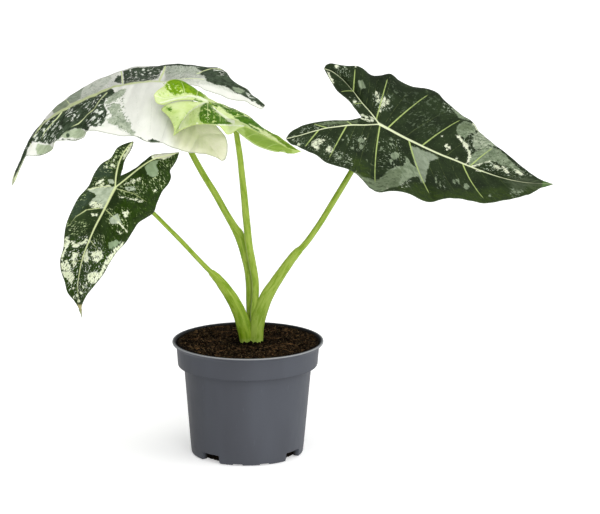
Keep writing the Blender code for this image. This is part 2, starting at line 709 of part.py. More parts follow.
def pot():
    """The pot as one turned wall, with notches and vents cut up into its foot."""
    outline = [  # (radius, height, is on the foot ring)
        (0, 0, 0), (PAD_RADIUS, 0, 0), (PAD_RADIUS + 0.5, CHANNEL, 0),
        (FOOT_RING - 0.3, CHANNEL, 0), (FOOT_RING, 0, 1), (FOOT_RADIUS, 0, 1),
        (FOOT_RADIUS + 0.42, 4.0, 0),
        (WALL_TOP_RADIUS, BAND_BOTTOM + 0.3, 0), (BAND_BOTTOM_RADIUS - 0.15, BAND_BOTTOM, 0),
        (BAND_BOTTOM_RADIUS, BAND_BOTTOM + 0.2, 0), (BAND_TOP_RADIUS, RIM_TOP - 1.9, 0),
        (BAND_TOP_RADIUS + 0.6, RIM_TOP - 1.3, 0), (RIM_RADIUS, RIM_TOP - 0.75, 0),
        (RIM_RADIUS, RIM_TOP - 0.25, 0), (RIM_RADIUS - 0.25, RIM_TOP, 0),
        (RIM_RADIUS - 0.8, RIM_TOP, 0), (RIM_RADIUS - 1.1, RIM_TOP - 0.3, 0),
        (BAND_TOP_RADIUS - WALL + 0.05, RIM_TOP - 2.1, 0),
        (BAND_BOTTOM_RADIUS - WALL, BAND_BOTTOM + 0.2, 0),
        (WALL_TOP_RADIUS - WALL, BAND_BOTTOM - 1.0, 0),
        (FOOT_RADIUS - WALL + 0.35, FLOOR_TOP + 0.6, 0), (FOOT_RADIUS - WALL - 0.4, FLOOR_TOP, 0),
        (0, FLOOR_TOP, 0),
    ]
    steps = 56
    angles = [-180.0 + 360.0 * s / steps for s in range(steps)]
    cuts = [(c, NOTCH_WIDTH, NOTCH_HEIGHT) for c in NOTCHES] + [
        (c, SLIT_WIDTH, SLIT_HEIGHT) for c in SLITS
    ]
    lifts = {}
    for centre, width, height in cuts:
        for edge in (centre - width / 2, centre + width / 2):
            angles = [a for a in angles if abs(a - edge) > 1.6]
    for centre, width, height in cuts:
        for sign in (-1, 1):
            angles += [centre + sign * width / 2, centre + sign * (width / 2 - 0.35)]
    angles.sort()
    for a in angles:
        for centre, width, height in cuts:
            if abs(a - centre) < width / 2 - 0.3:
                lifts[a] = height

    def place(k, angle):
        radius, height, ring = outline[k]
        if ring:
            height = max(height, lifts.get(angle, 0.0))
        t = math.radians(angle)
        return (radius * math.cos(t) + LEAN * height, radius * math.sin(t), height)

    return turned(len(outline), angles, place)


def soil():
    """The soil: it fills the pot, with a low crumbly top and a hole for the stems."""
    g = SOIL_GAP
    outline = [  # (radius, height): outside, from the bottom to the top
        (0, FLOOR_TOP + g), (FOOT_RADIUS - WALL - 0.4 - g, FLOOR_TOP + g),
        (FOOT_RADIUS - WALL + 0.3 - g, FLOOR_TOP + 0.6 + g),
        (WALL_TOP_RADIUS - WALL - 0.1 - g, BAND_BOTTOM - 1.0 + g / 2),
        (BAND_BOTTOM_RADIUS - WALL - 0.15 - g, BAND_BOTTOM + 0.2 + g),
        (BAND_TOP_RADIUS - WALL - 0.05 - g, RIM_TOP - 2.1),
        (BAND_TOP_RADIUS - WALL + 0.45 - g, SOIL_TOP - 0.15),
    ]
    rings = [(0.86, 0.1), (0.62, 0.25), (0.38, 0.4), (0.16, 0.5), (0.0, 0.3)]
    count = len(outline) + len(rings) + 2
    rim = outline[-1][0]
    steps = 44
    angles = [360.0 * s / steps for s in range(steps)]

    def place(k, angle):
        t = math.radians(angle)
        c, s = math.cos(t), math.sin(t)
        if k < len(outline):
            radius, height = outline[k]
            return (radius * c + LEAN * height, radius * s, height)
        if k < len(outline) + len(rings):
            share, height = rings[k - len(outline)]
            inner = (POCKET_CENTRE[0] + POCKET[0] * c, POCKET_CENTRE[1] + POCKET[1] * s)
            x = inner[0] + share * (rim * c + LEAN * SOIL_TOP - inner[0])
            y = inner[1] + share * (rim * s - inner[1])
            rough = 0.15 * math.sin(0.9 * x + 1.7 * y) + 0.12 * math.sin(1.6 * x - 0.8 * y + 1.0)
            return (x, y, SOIL_TOP + height + rough)
        if k == count - 2:
            return (
                POCKET_CENTRE[0] + (POCKET[0] - 0.4) * c,
                POCKET_CENTRE[1] + (POCKET[1] - 0.4) * s,
                POCKET_FLOOR,
            )
        return (POCKET_CENTRE[0], POCKET_CENTRE[1], POCKET_FLOOR)

    return turned(count, angles, place)


def stem_base():
    """The short corm under the soil's surface, which carries the petioles."""
    outline = [(0, 31.4), (3.0, 31.5), (4.2, 32.8), (4.5, 35.0), (4.3, 37.2), (3.4, 38.0), (0, 38.0)]

    def place(k, angle):
        t = math.radians(angle)
        radius, height = outline[k]
        return (
            POCKET_CENTRE[0] + radius * 1.04 * math.cos(t),
            POCKET_CENTRE[1] + radius * 0.84 * math.sin(t),
            height,
        )

    return turned(len(outline), [15.0 * s for s in range(24)], place)


# --------------------------------------------------------------- the objects
def material(name, colour, roughness):
    made = bpy.data.materials.new(name)
    made.use_nodes = True
    shader = made.node_tree.nodes["Principled BSDF"]
    shader.inputs["Base Color"].default_value = (*colour, 1)
    shader.inputs["Roughness"].default_value = roughness
    shader.inputs["Metallic"].default_value = 0.0
    return made


def add(name, points, faces, finish, parent, sharp=35):
    mesh = bpy.data.meshes.new(name)
    mesh.from_pydata([Vector(p) * MM for p in points], [], [tuple(f) for f in faces])
    work = bmesh.new()
    work.from_mesh(mesh)
    bmesh.ops.recalc_face_normals(work, faces=work.faces)
    bmesh.ops.triangulate(work, faces=[f for f in work.faces if len(f.verts) > 4])
    if work.calc_volume(signed=True) < 0:
        bmesh.ops.reverse_faces(work, faces=work.faces)
    work.to_mesh(mesh)
    work.free()
    mesh.shade_smooth()
    mesh.set_sharp_from_angle(angle=math.radians(sharp))
    mesh.materials.append(finish)
    made = bpy.data.objects.new(name, mesh)
    bpy.context.scene.collection.objects.link(made)
    made.parent = parent
    return made


def main():
    for old in list(bpy.data.objects):
        bpy.data.objects.remove(old, do_unlink=True)

    plant = bpy.data.objects.new("potted_alocasia", None)
    bpy.context.scene.collection.objects.link(plant)

    plastic = material("grey_plastic", (0.09, 0.10, 0.115), 0.45)
    earth = material("soil", (0.045, 0.028, 0.018), 0.95)
    corm = material("corm", (0.16, 0.12, 0.05), 0.8)
    stalk = material("petiole", (0.30, 0.44, 0.08), 0.45)
    dark = material("dark_leaf", (0.03, 0.07, 0.035), 0.55)
    pale = material("variegated_leaf", (0.25, 0.32, 0.2), 0.55)
    fresh = material("young_leaf", (0.32, 0.5, 0.08), 0.5)

    add("nursery_pot", *pot(), plastic, plant, 28)
    add("potting_soil", *soil(), earth, plant)
    add("stem_base", *stem_base(), corm, plant)

    leaves = (
        ("blade_large_leaf", "petiole_large_leaf", leaf_large(), pale),
        ("blade_young_leaf", "petiole_young_leaf", leaf_young(), fresh),
        ("blade_right_leaf", "petiole_right_leaf", leaf_right(), dark),
        ("blade_hanging_leaf", "petiole_hanging_leaf", leaf_hanging(), dark),
    )
    for blade_name, petiole_name, blade, finish in leaves:
        points, faces = blade.surface(18, 8, 4, 3)
        up = normals(points, faces)
        at = int(np.argmin(np.linalg.norm(points - blade.junction, axis=1)))
        add(blade_name, *thicken(points, faces, BLADE_THICKNESS), finish, plant, 50)
        top = points[at] - up[at] * (BLADE_THICKNESS / 2 + PETIOLE_GAP)
        add(petiole_name, *tube(PETIOLES[petiole_name], top, up[at], 12, 1), stalk, plant, 60)


main()
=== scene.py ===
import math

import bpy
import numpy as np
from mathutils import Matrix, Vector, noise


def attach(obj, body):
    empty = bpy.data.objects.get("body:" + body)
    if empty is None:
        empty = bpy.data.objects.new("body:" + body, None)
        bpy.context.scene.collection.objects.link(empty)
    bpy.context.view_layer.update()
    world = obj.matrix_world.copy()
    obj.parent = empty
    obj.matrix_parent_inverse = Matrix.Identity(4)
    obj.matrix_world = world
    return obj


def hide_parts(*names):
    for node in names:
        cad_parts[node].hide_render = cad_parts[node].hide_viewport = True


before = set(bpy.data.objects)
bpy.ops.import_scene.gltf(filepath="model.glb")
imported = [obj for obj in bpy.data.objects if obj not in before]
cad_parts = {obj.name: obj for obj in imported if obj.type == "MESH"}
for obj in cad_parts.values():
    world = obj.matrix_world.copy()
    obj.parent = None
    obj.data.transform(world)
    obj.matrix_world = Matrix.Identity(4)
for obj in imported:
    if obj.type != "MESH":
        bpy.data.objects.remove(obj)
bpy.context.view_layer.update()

# The looks of a small potted alocasia with four leaves: fine surfaces and finishes
# for its pot, soil, stem base, petioles and blades.
#
# Lengths are worked out in millimetres and turned into metres when a mesh is made.
# Leaves are laid out as they were surveyed from one standing point: a place on a
# leaf is given by two sight readings (across, down) and by how far it lies behind
# (+) or in front of (-) the pot's axis.


# ---------------------------------------------------------------- dimensions
MM = 0.001

# The survey: readings at the table's centre, at the pot's foot, and the scale.
TABLE = (300.0, 257.0)          # reading straight ahead of the standing point
FOOT = (247.3, 450.0)           # reading of the centre of the pot's foot
SCALE = 0.39                    # mm for one unit of reading at the pot's axis
DISTANCE = 1300.0               # mm from the standing point to the pot
TILT = math.radians(13.0)       # the survey looks down by this much

# The pot: a 6 cm nursery pot, turned about the Z axis.
RIM_TOP = 44.3
RIM_RADIUS = 29.25
BAND_TOP_RADIUS = 27.65         # outside of the rim's band, under the lip
BAND_BOTTOM_RADIUS = 27.1
BAND_BOTTOM = 34.9
WALL_TOP_RADIUS = 24.75
FOOT_RADIUS = 21.7
WALL = 0.9
FLOOR_TOP = 4.2
FOOT_RING = 19.6                # inner radius of the ring that the pot stands on
PAD_RADIUS = 13.0               # the flat pad in the middle of the underside
CHANNEL = 2.6                   # height of the channel between pad and ring
NOTCH_HEIGHT = 3.2              # the drain notches in the foot ring
NOTCHES = (-130.0, -35.0, 52.0, 143.0)      # degrees, from +X towards +Y
NOTCH_WIDTH = 22.0
SLIT_HEIGHT = 0.55              # two shallow vents in the front of the ring
SLITS = (-99.0, -71.0)
SLIT_WIDTH = 10.0
LEAN = 0.35 / 40.0              # the thin wall leans this much towards +X as it rises

# The soil and the stem base.
SOIL_TOP = 43.8
SOIL_GAP = 0.35
POCKET_CENTRE = (1.9, 0.1)
POCKET = (5.3, 4.3)             # half-axes of the hole that the stems stand in
POCKET_FLOOR = 31.0

BLADE_THICKNESS = 0.7
PETIOLE_GAP = 0.35


# ------------------------------------------------------------------- survey
def standing_point():
    ahead = np.array([0.0, math.cos(TILT), -math.sin(TILT)])
    up = np.array([0.0, math.sin(TILT), math.cos(TILT)])
    across = np.array([1.0, 0.0, 0.0])
    point = -(
        DISTANCE * ahead
        + (FOOT[0] - TABLE[0]) * SCALE * across
        - (FOOT[1] - TABLE[1]) * SCALE * up
    )
    return point, across, up, ahead


def sight(reading_across, reading_down, behind):
    """The place, in mm, with these readings and this Y."""
    point, across, up, ahead = standing_point()
    reach = DISTANCE / SCALE
    ray = (
        ahead
        + (reading_across - TABLE[0]) / reach * across
        - (reading_down - TABLE[1]) / reach * up
    )
    return point + ray * (behind - point[1]) / ray[1]


# ------------------------------------------------------------------- curves
def monotone(xs, ys):
    """A smooth curve through points with rising xs that never overshoots."""
    xs, ys = np.asarray(xs, float), np.asarray(ys, float)
    step = np.diff(xs)
    slope = np.diff(ys) / step
    tangent = np.zeros(len(xs))
    for i in range(1, len(xs) - 1):
        if slope[i - 1] * slope[i] > 0:
            a, b = 2 * step[i] + step[i - 1], step[i] + 2 * step[i - 1]
            tangent[i] = (a + b) / (a / slope[i - 1] + b / slope[i])
    tangent[0], tangent[-1] = slope[0], slope[-1]

    def value(x):
        x = np.clip(x, xs[0], xs[-1])
        i = np.clip(np.searchsorted(xs, x) - 1, 0, len(step) - 1)
        t = (x - xs[i]) / step[i]
        return (
            ys[i] * (1 + 2 * t) * (1 - t) ** 2
            + tangent[i] * step[i] * t * (1 - t) ** 2
            + ys[i + 1] * t * t * (3 - 2 * t)
            + tangent[i + 1] * step[i] * t * t * (t - 1)
        )

    return value


class Line:
    """A smooth line through surveyed points, read by its length from 0 to 1."""

    def __init__(self, readings, behind):
        flat = np.array(readings, float)
        run = np.concatenate(
            [[0], np.cumsum(np.hypot(*np.diff(flat, axis=0).T))]
        )
        run /= run[-1]
        depth = monotone(np.linspace(0, 1, len(behind)), behind)(run)
        self.points = np.array(
            [sight(a, d, y) for (a, d), y in zip(flat, depth)]
        )
        self.flat = flat
        self.run = run

    def at(self, t):
        """Catmull-Rom through the points."""
        t = np.atleast_1d(np.clip(t, 0, 1))
        p, s = self.points, self.run
        i = np.clip(np.searchsorted(s, t) - 1, 0, len(p) - 2)
        slope = np.gradient(p, s, axis=0) if len(p) > 2 else None
        h = (s[i + 1] - s[i])[:, None]
        x = ((t - s[i]) / h[:, 0])[:, None]
        if slope is None:
            return p[i] * (1 - x) + p[i + 1] * x
        return (
            p[i] * (1 + 2 * x) * (1 - x) ** 2
            + slope[i] * h * x * (1 - x) ** 2
            + p[i + 1] * x * x * (3 - 2 * x)
            + slope[i + 1] * h * x * x * (x - 1)
        )

    def near(self, reading):
        """Where along the line its reading is nearest to this one."""
        a, b = self.flat[:-1], self.flat[1:]
        q = np.asarray(reading, float)
        t = np.clip(
            ((q - a) * (b - a)).sum(1) / ((b - a) ** 2).sum(1), 0, 1
        )
        gap = np.hypot(*(a + t[:, None] * (b - a) - q).T)
        i = int(np.argmin(gap))
        return self.run[i] + t[i] * (self.run[i + 1] - self.run[i])


class Blade:
    """A sagittate blade: a midrib, two lobes with a costa each, and margins.

    The left side is on the left of someone who walks from the junction to
    the tip on the upper face.
    """

    def __init__(self, junction, tip, sinus, midrib, sides):
        self.junction = sight(*junction)
        self.sides = sides
        self.midrib = Line(
            [junction[:2]] + midrib[0] + [tip[:2]],
            [junction[2]] + midrib[1] + [tip[2]],
        )
        self.lines = []
        for side in sides:
            lobe = side["lobe"]
            self.lines.append(
                (
                    Line(
                        [junction[:2]] + side["costa"][0] + [lobe[:2]],
                        [junction[2]] + side["costa"][1] + [lobe[2]],
                    ),
                    Line(
                        [lobe[:2]] + side["outer"][0] + [tip[:2]],
                        [lobe[2]] + side["outer"][1] + [tip[2]],
                    ),
                    Line(
                        [sinus[:2]] + side["inner"][0] + [lobe[:2]],
                        [sinus[2]] + side["inner"][1] + [lobe[2]],
                    ),
                )
            )


# ------------------------------------------------------------------ the leaves
def leaf_large():
    """The large arched leaf at the back left, folded like a low roof."""
    return Blade(
        junction=(162, 82, 10),
        tip=(11.8, 186.0, -9),
        sinus=(177, 87, 8.5),
        midrib=(
            [(150, 82), (135, 83.6), (122.5, 85.5), (113.8, 87.7), (97.6, 94.2), (81.3, 101.8),
             (69.4, 107.2), (56, 115), (43, 124), (33, 138), (24, 155.5), (17, 171)],
            [9.5, 8.5, 6.5, 3.5, 0, -3, -6],
        ),
        sides=[
            dict(  # the near half, which slopes towards the standing point
                lobe=(221.8, 161.0, -19),
                costa=([(171, 93), (184, 112), (199, 133), (211, 148.5)], [5, -2, -9, -15]),
                outer=(
                    [(217.2, 158.2), (211, 155.0), (196.6, 153.3), (185.8, 151.7), (171.7, 147.3),
                     (159.4, 142.6), (151.8, 142.4), (145.3, 141.4), (135.5, 136.5), (122.5, 136),
                     (108.4, 133.8), (92.2, 130.8), (86.7, 131.4), (83.5, 137.6), (78, 140.3),
                     (65, 140.3), (54.6, 141.9), (52.6, 149.0), (46.6, 153.3), (34.7, 156.2),
                     (26.0, 156.2), (21.0, 165.0), (15.4, 176.0)],
                    [-20, -20, -19, -18, -17, -16, -14, -12, -9, -8.5],
                ),
                inner=(
                    [(190, 98), (203, 112), (214, 123.5), (221.4, 131.5), (225.9, 137.6),
                     (227.6, 148.4), (226.6, 155.8), (224.8, 160.2)],
                    [2, -5, -11, -15, -18],
                ),
                veins_inner=[((184, 112), (203, 112)), ((199, 133), (224, 135))],
                veins_lobe=[((199, 133), (190, 152.5)), ((184, 112), (172, 147.3))],
                abeam=(143, 140.5),
                veins_blade=[
                    ((135, 83.6), (112, 134.5)),
                    ((120.8, 86), (92.2, 130.8)),
                    ((97.6, 94.2), (72, 140.3)),
                    ((69.4, 107.2), (46.6, 153.3)),
                    ((43, 124), (26.5, 156.4)),
                ],
                arch=0.07,
                sag=0.03,
            ),
            dict(  # the far half, nearly level, seen along its surface
                lobe=(265.2, 105.4, 30),
                costa=([(178, 79.5), (196, 78.5), (215, 82.5), (233, 90), (250, 98.5)],
                       [15, 22, 26, 29]),
                outer=(
                    [(259.5, 100.0), (251.9, 94.6), (247.6, 89.9), (236.7, 83.4), (230.2, 77.9),
                     (225.9, 72.5), (219.4, 68.2), (211.8, 67.1), (202, 66.9), (191, 64.9),
                     (177, 64), (166.3, 64.9), (151.8, 66.4), (133.3, 67.1), (120.3, 70.9),
                     (108.4, 75.8), (92, 82.3), (78, 91), (65, 99.6), (52, 110.5), (43.4, 121.3),
                     (31.0, 136.4), (25.9, 148.6), (20.2, 161.0), (14.5, 173)],
                    [33, 36, 38, 38, 38, 36, 32, 25, 16, 5, -5],
                ),
                inner=(
                    [(186, 84.5), (196.6, 86.0), (206.4, 90.4), (217.2, 94.2), (230.2, 99.1),
                     (236.7, 100.5), (245.4, 101.8), (254, 106), (262.2, 108.9)],
                    [12, 16, 20, 24, 28],
                ),
                veins_inner=[((196, 78.5), (200, 87.4)), ((233, 90), (236.7, 100.5))],
                veins_lobe=[((233, 90), (240, 85.5)), ((196, 78.5), (202, 66.9))],
                abeam=(164, 65.1),
                veins_blade=[
                    ((122.5, 85.5), (120.3, 70.9)),
                    ((97.6, 94.2), (88, 84.7)),
                    ((69.4, 107.2), (58, 105.3)),
                    ((43, 124), (33, 133.3)),
                ],
                arch=0.05,
                sag=0.02,
            ),
        ],
    )


def leaf_young():
    """The young leaf in front: a shallow boat whose near margin turns up."""
    return Blade(
        junction=(207.2, 102.3, -10),
        tip=(301.0, 151.5, -23),
        sinus=(201.5, 102.8, -10.2),
        midrib=(
            [(215, 110.7), (223, 117), (231, 123.4), (239, 130.6), (247, 137), (258, 144.2),
             (266.7, 147.6), (278, 150.4), (289.6, 151.7)],
            [-12.5, -15, -17, -19, -21],
        ),
        sides=[
            dict(  # the far half
                lobe=(153.8, 95.0, -12),
                costa=([(196, 97.6), (185, 96.6), (174.4, 97.7), (164, 98.5)], [-9.5, -9.5, -10.5]),
                outer=(
                    [(156.6, 91.4), (163.5, 86.4), (167.6, 81.6), (174.4, 79.5), (183.6, 81.4),
                     (193.4, 87.9), (201.0, 94.0), (206.8, 99.4), (213.0, 102.6), (220.5, 105.2),
                     (232, 108.8), (240.8, 112.2), (247.1, 115.1), (256.3, 122.6), (263.8, 128.3),
                     (272.4, 133.5), (278, 135.7), (282.7, 139.2), (288, 143.2), (294.6, 147.6)],
                    [-8, -4, -1, 0, -1, -3, -6, -10, -14, -18.5],
                ),
                inner=(
                    [(193, 100.4), (183, 100.0), (173, 101.6), (163.5, 104.8), (156.8, 103.0)],
                    [-10.6, -11, -11.4, -12],
                ),
                veins_inner=[((185, 96.6), (181, 100.2))],
                veins_lobe=[((185, 96.6), (180, 80.5)), ((196, 97.6), (196.5, 90.3))],
                abeam=(206.5, 99.2),
                veins_blade=[
                    ((215, 110.7), (232, 108.8)),
                    ((227, 120.2), (250, 117.5)),
                    ((247, 137), (268, 131)),
                    ((266.7, 147.6), (284, 140.2)),
                ],
                arch=0.10,
                sag=0.0,
            ),
            dict(  # the near half
                lobe=(173.4, 135.8, -20.5),
                costa=([(199, 105.2), (193.4, 109.0), (186.9, 116), (180.4, 125.6), (176, 131.8)],
                       [-12.5, -15, -18]),
                outer=(
                    [(177, 132.4), (182.5, 129.4), (193.4, 125.2), (201.5, 124.2), (212.3, 124.6),
                     (219.4, 126.2), (223.4, 130.4), (227.2, 134.4), (231.0, 134.0), (234.8, 131.2),
                     (239.2, 128.2), (244.3, 126.8), (250, 128.8), (255.2, 131.5),
                     (260.9, 134.4), (269.5, 138.4), (278.1, 142.6), (286.7, 147.4), (294, 150.0)],
                    [-22, -24, -25.5, -26.5, -27, -27.5, -27.5, -27, -26, -24.5],
                ),
                inner=(
                    [(193, 101.6), (183, 101.4), (173, 103.2), (164, 106.6), (161.4, 109.4),
                     (165, 113.2), (169.4, 118), (173, 125), (174.2, 130)],
                    [-11, -12.2, -13, -14, -16, -18.5],
                ),
                veins_inner=[((199, 105.2), (190, 101.4)), ((193.4, 109.0), (164, 106.6)),
                             ((186.9, 116), (168, 116.5))],
                veins_lobe=[((186.9, 116), (188, 127.2)), ((199, 105.2), (200, 124.3))],
                abeam=(207.5, 124.3),
                veins_blade=[
                    ((215, 110.7), (220, 125.2)),
                    ((231, 123.4), (244.3, 125.8)),
                    ((247, 137), (261, 134.4)),
                    ((266.7, 147.6), (280, 143.6)),
                ],
                arch=-0.10,
                sag=0.0,
            ),
        ],
    )


def leaf_right():
    """The dark leaf on the right, tilted towards the standing point."""

    def plane(a, d):
        return 2 + 0.102 * (a - 379) - 0.4165 * (d - 124)

    def depths(readings, extra=0.0):
        return [plane(a, d) + extra for a, d in readings]

    upper = [
        (325.5, 65.6), (329.8, 63.4), (336, 64.2), (344, 65.7), (358.8, 66.6), (366.2, 71.3), (373.6, 75.7),
        (381, 75.5), (390.2, 74.2), (399.5, 80.5), (410.6, 86.1), (429, 89.2), (438.3, 93.5),
        (443.8, 99.9), (453.1, 108.3), (464.2, 116.6), (473.4, 123), (479, 131.4), (491.9, 142.5),
        (504.9, 152.6), (519.7, 164.7), (532.6, 174.8), (543.7, 181.0),
    ]
    lower = [
        (290, 143.2), (297.7, 146.6), (307, 150.8), (318.1, 156.3), (325.5, 161.9), (336.6, 165.6),
        (349.5, 170.2), (355.1, 173), (362.5, 179.5), (369.9, 187.8), (379.1, 192), (388.4, 190.9),
        (399.5, 191.5), (410.6, 194.3), (423.5, 200.7), (432.8, 201.7), (443.8, 198.9),
        (454.9, 198), (469.7, 200.7), (484.5, 203.1), (491.9, 202.6), (510.4, 198.9),
        (528.9, 194.3), (541.9, 187.8),
    ]
    return Blade(
        junction=(379, 124, 2),
        tip=(553.4, 184.1, -6),
        sinus=(361.5, 117.5, 1.5),
        midrib=(
            [(395.8, 133.2), (421.7, 146.2), (438, 153.6), (454.9, 160.4), (469.7, 166.5),
             (485, 172.4), (501.2, 177.6), (515, 180.8), (528.9, 182.9), (542, 183.6)],
            [0.5, -2.5, -4.5, -5.5, -6, -6],
        ),
        sides=[
            dict(  # the upper half
                lobe=(324.0, 68.6, 17.5),
                costa=([(373, 115.7), (362.5, 103.6), (353.2, 91.6), (340.3, 77.7), (331, 71.0)],
                       [6, 11, 15.5, 17.5]),
                outer=(upper, [19, 21, 21.5, 21, 18.5, 15, 9.5, 3.5, -1.5, -4.5]),
                inner=(
                    [(357.4, 111.5), (347.7, 99.9), (336.6, 89.8), (332, 83.3), (327.0, 74.4)],
                    [4, 8.5, 12.5, 15.5],
                ),
                veins_inner=[((362.5, 103.6), (352, 105)), ((353.2, 91.6), (339, 92))],
                veins_lobe=[((353.5, 92), (355, 66.5)), ((366, 107.5), (370, 74)),
                            ((376.3, 120.0), (389.0, 74.4))],
                abeam=(396, 78),
                plain=dict(lobe=[1], abeam=True, blade=[3]),
                veins_blade=[
                    ((387.5, 128.3), (434, 91)),
                    ((421.6, 146.2), (466, 118)),
                    ((469.7, 166.5), (496, 146)),
                    ((505, 178.6), (528, 171.4)),
                ],
                arch=0.055,
                sag=0.0,
            ),
            dict(  # the lower half
                lobe=(285.9, 138.8, -9),
                costa=([(365, 124.9), (352, 124.9), (340.3, 126.2), (327, 128.0), (314, 131.2), (300, 135.4)],
                       [1, -0.5, -2.5, -5, -7.5]),
                outer=(lower, [-11.5, -16, -19.5, -24, -25, -24.5, -24, -22.5, -19, -11]),
                inner=(
                    [(349.5, 119.9), (332.9, 120.3), (316.2, 122.1), (299.6, 126.8), (289.0, 133.8)],
                    [0.5, -1, -3, -5.5, -8],
                ),
                veins_inner=[((352, 124.9), (346, 119.9)), ((327, 128.0), (312, 123.2))],
                veins_lobe=[((318.5, 130), (303.5, 149)), ((346.8, 125.4), (327, 162.4)),
                            ((365, 124.9), (353, 172))],
                abeam=(365, 182.5),
                plain=dict(lobe=[2], abeam=True, blade=[2, 4]),
                veins_blade=[
                    ((380, 124.8), (375.5, 191.2)),
                    ((408.5, 140.4), (434, 201.5)),
                    ((436, 152.8), (460, 198.7)),
                    ((462.5, 163.6), (488, 203.0)),
                    ((497, 176.4), (521, 196.4)),
                ],
                arch=0.055,
                sag=0.02,
            ),
        ],
    )


def leaf_hanging():
    """The speckled leaf at the lower left, which hangs with its tip down."""
    return Blade(
        junction=(115.6, 187, -10),
        tip=(82.0, 317.8, -31),
        sinus=(120.6, 175.6, -8.5),
        midrib=(
            [(108.9, 200.4), (102.2, 213.7), (95.5, 226.5), (88.8, 241.9), (83.5, 256),
             (80.1, 270), (78.1, 284), (78.6, 300)],
            [-12, -15, -19, -23.5, -27.5],
        ),
        sides=[
            dict(  # the half on the right of the picture
                lobe=(179.2, 152.3, -9),
                costa=([(124, 180.5), (131.4, 174.6), (142.4, 166), (153.1, 159.5), (167, 155.6)],
                       [-9.5, -9, -8.7]),
                outer=(
                    [(177.4, 158.5), (173.5, 165.5), (170.2, 170.5), (171.0, 177.0), (168.6, 183.5),
                     (162.5, 191), (157.1, 203), (153.1, 213.2), (146.4, 217.8), (138.4, 223.1),
                     (133, 231.2), (126.3, 241.9), (115.6, 253.9), (108.9, 264.6), (103.6, 274),
                     (94.2, 286), (85.4, 297.6), (81.6, 307.5)],
                    [-10, -12, -15, -17.5, -19, -21, -23.5, -26, -28.5],
                ),
                inner=(
                    [(125.5, 173.8), (133, 169.6), (143.7, 161.8), (152.5, 155.0), (161.2, 153.6),
                     (170.5, 152.9)],
                    [-8.3, -8, -8, -8.5],
                ),
                veins_inner=[((142.4, 166), (140, 164.5))],
                veins_lobe=[((150, 161.4), (166, 187)), ((135, 171.8), (155.5, 207))],
                abeam=(148, 216.6),
                veins_blade=[
                    ((107.5, 203), (128.8, 238)),
                    ((95.5, 226.5), (112, 259.5)),
                    ((83.5, 256), (94.2, 286)),
                ],
                arch=0.06,
                sag=0.03,
            ),
            dict(  # the half on the left of the picture
                lobe=(133.4, 141.4, -3.5),
                costa=([(116.2, 176.4), (119.2, 162.5), (124, 152.5), (129.5, 145)], [-8, -6, -4.5]),
                outer=(
                    [(126.3, 143.2), (117.6, 147.6), (110.9, 157.6), (101.5, 163.6), (94.2, 173.6),
                     (88.8, 185.6), (78.6, 197.3), (71.4, 211.1), (66.1, 224.5), (64.1, 236.5),
                     (63.2, 248.6), (60.2, 259.3), (60.7, 270), (64.7, 282), (67.6, 292.8),
                     (74.1, 300.8), (78.6, 308.0)],
                    [-5, -6.5, -8.5, -10.5, -13, -16, -19.5, -23.5, -27.5],
                ),
                inner=(
                    [(123, 166.9), (125.4, 158.8), (130.4, 150.8), (133.0, 145)],
                    [-7.5, -6, -4.5],
                ),
                veins_inner=[((119.2, 162.5), (124.4, 161.5))],
                veins_lobe=[((119.8, 161), (108, 159.6)), ((116.8, 173.5), (94.2, 173.6))],
                abeam=(88.8, 186),
                veins_blade=[
                    ((107, 204.4), (74, 206)),
                    ((95.5, 226.5), (64.8, 231.5)),
                    ((83.5, 256), (60.7, 270)),
                ],
                arch=0.06,
                sag=0.03,
            ),
        ],
    )


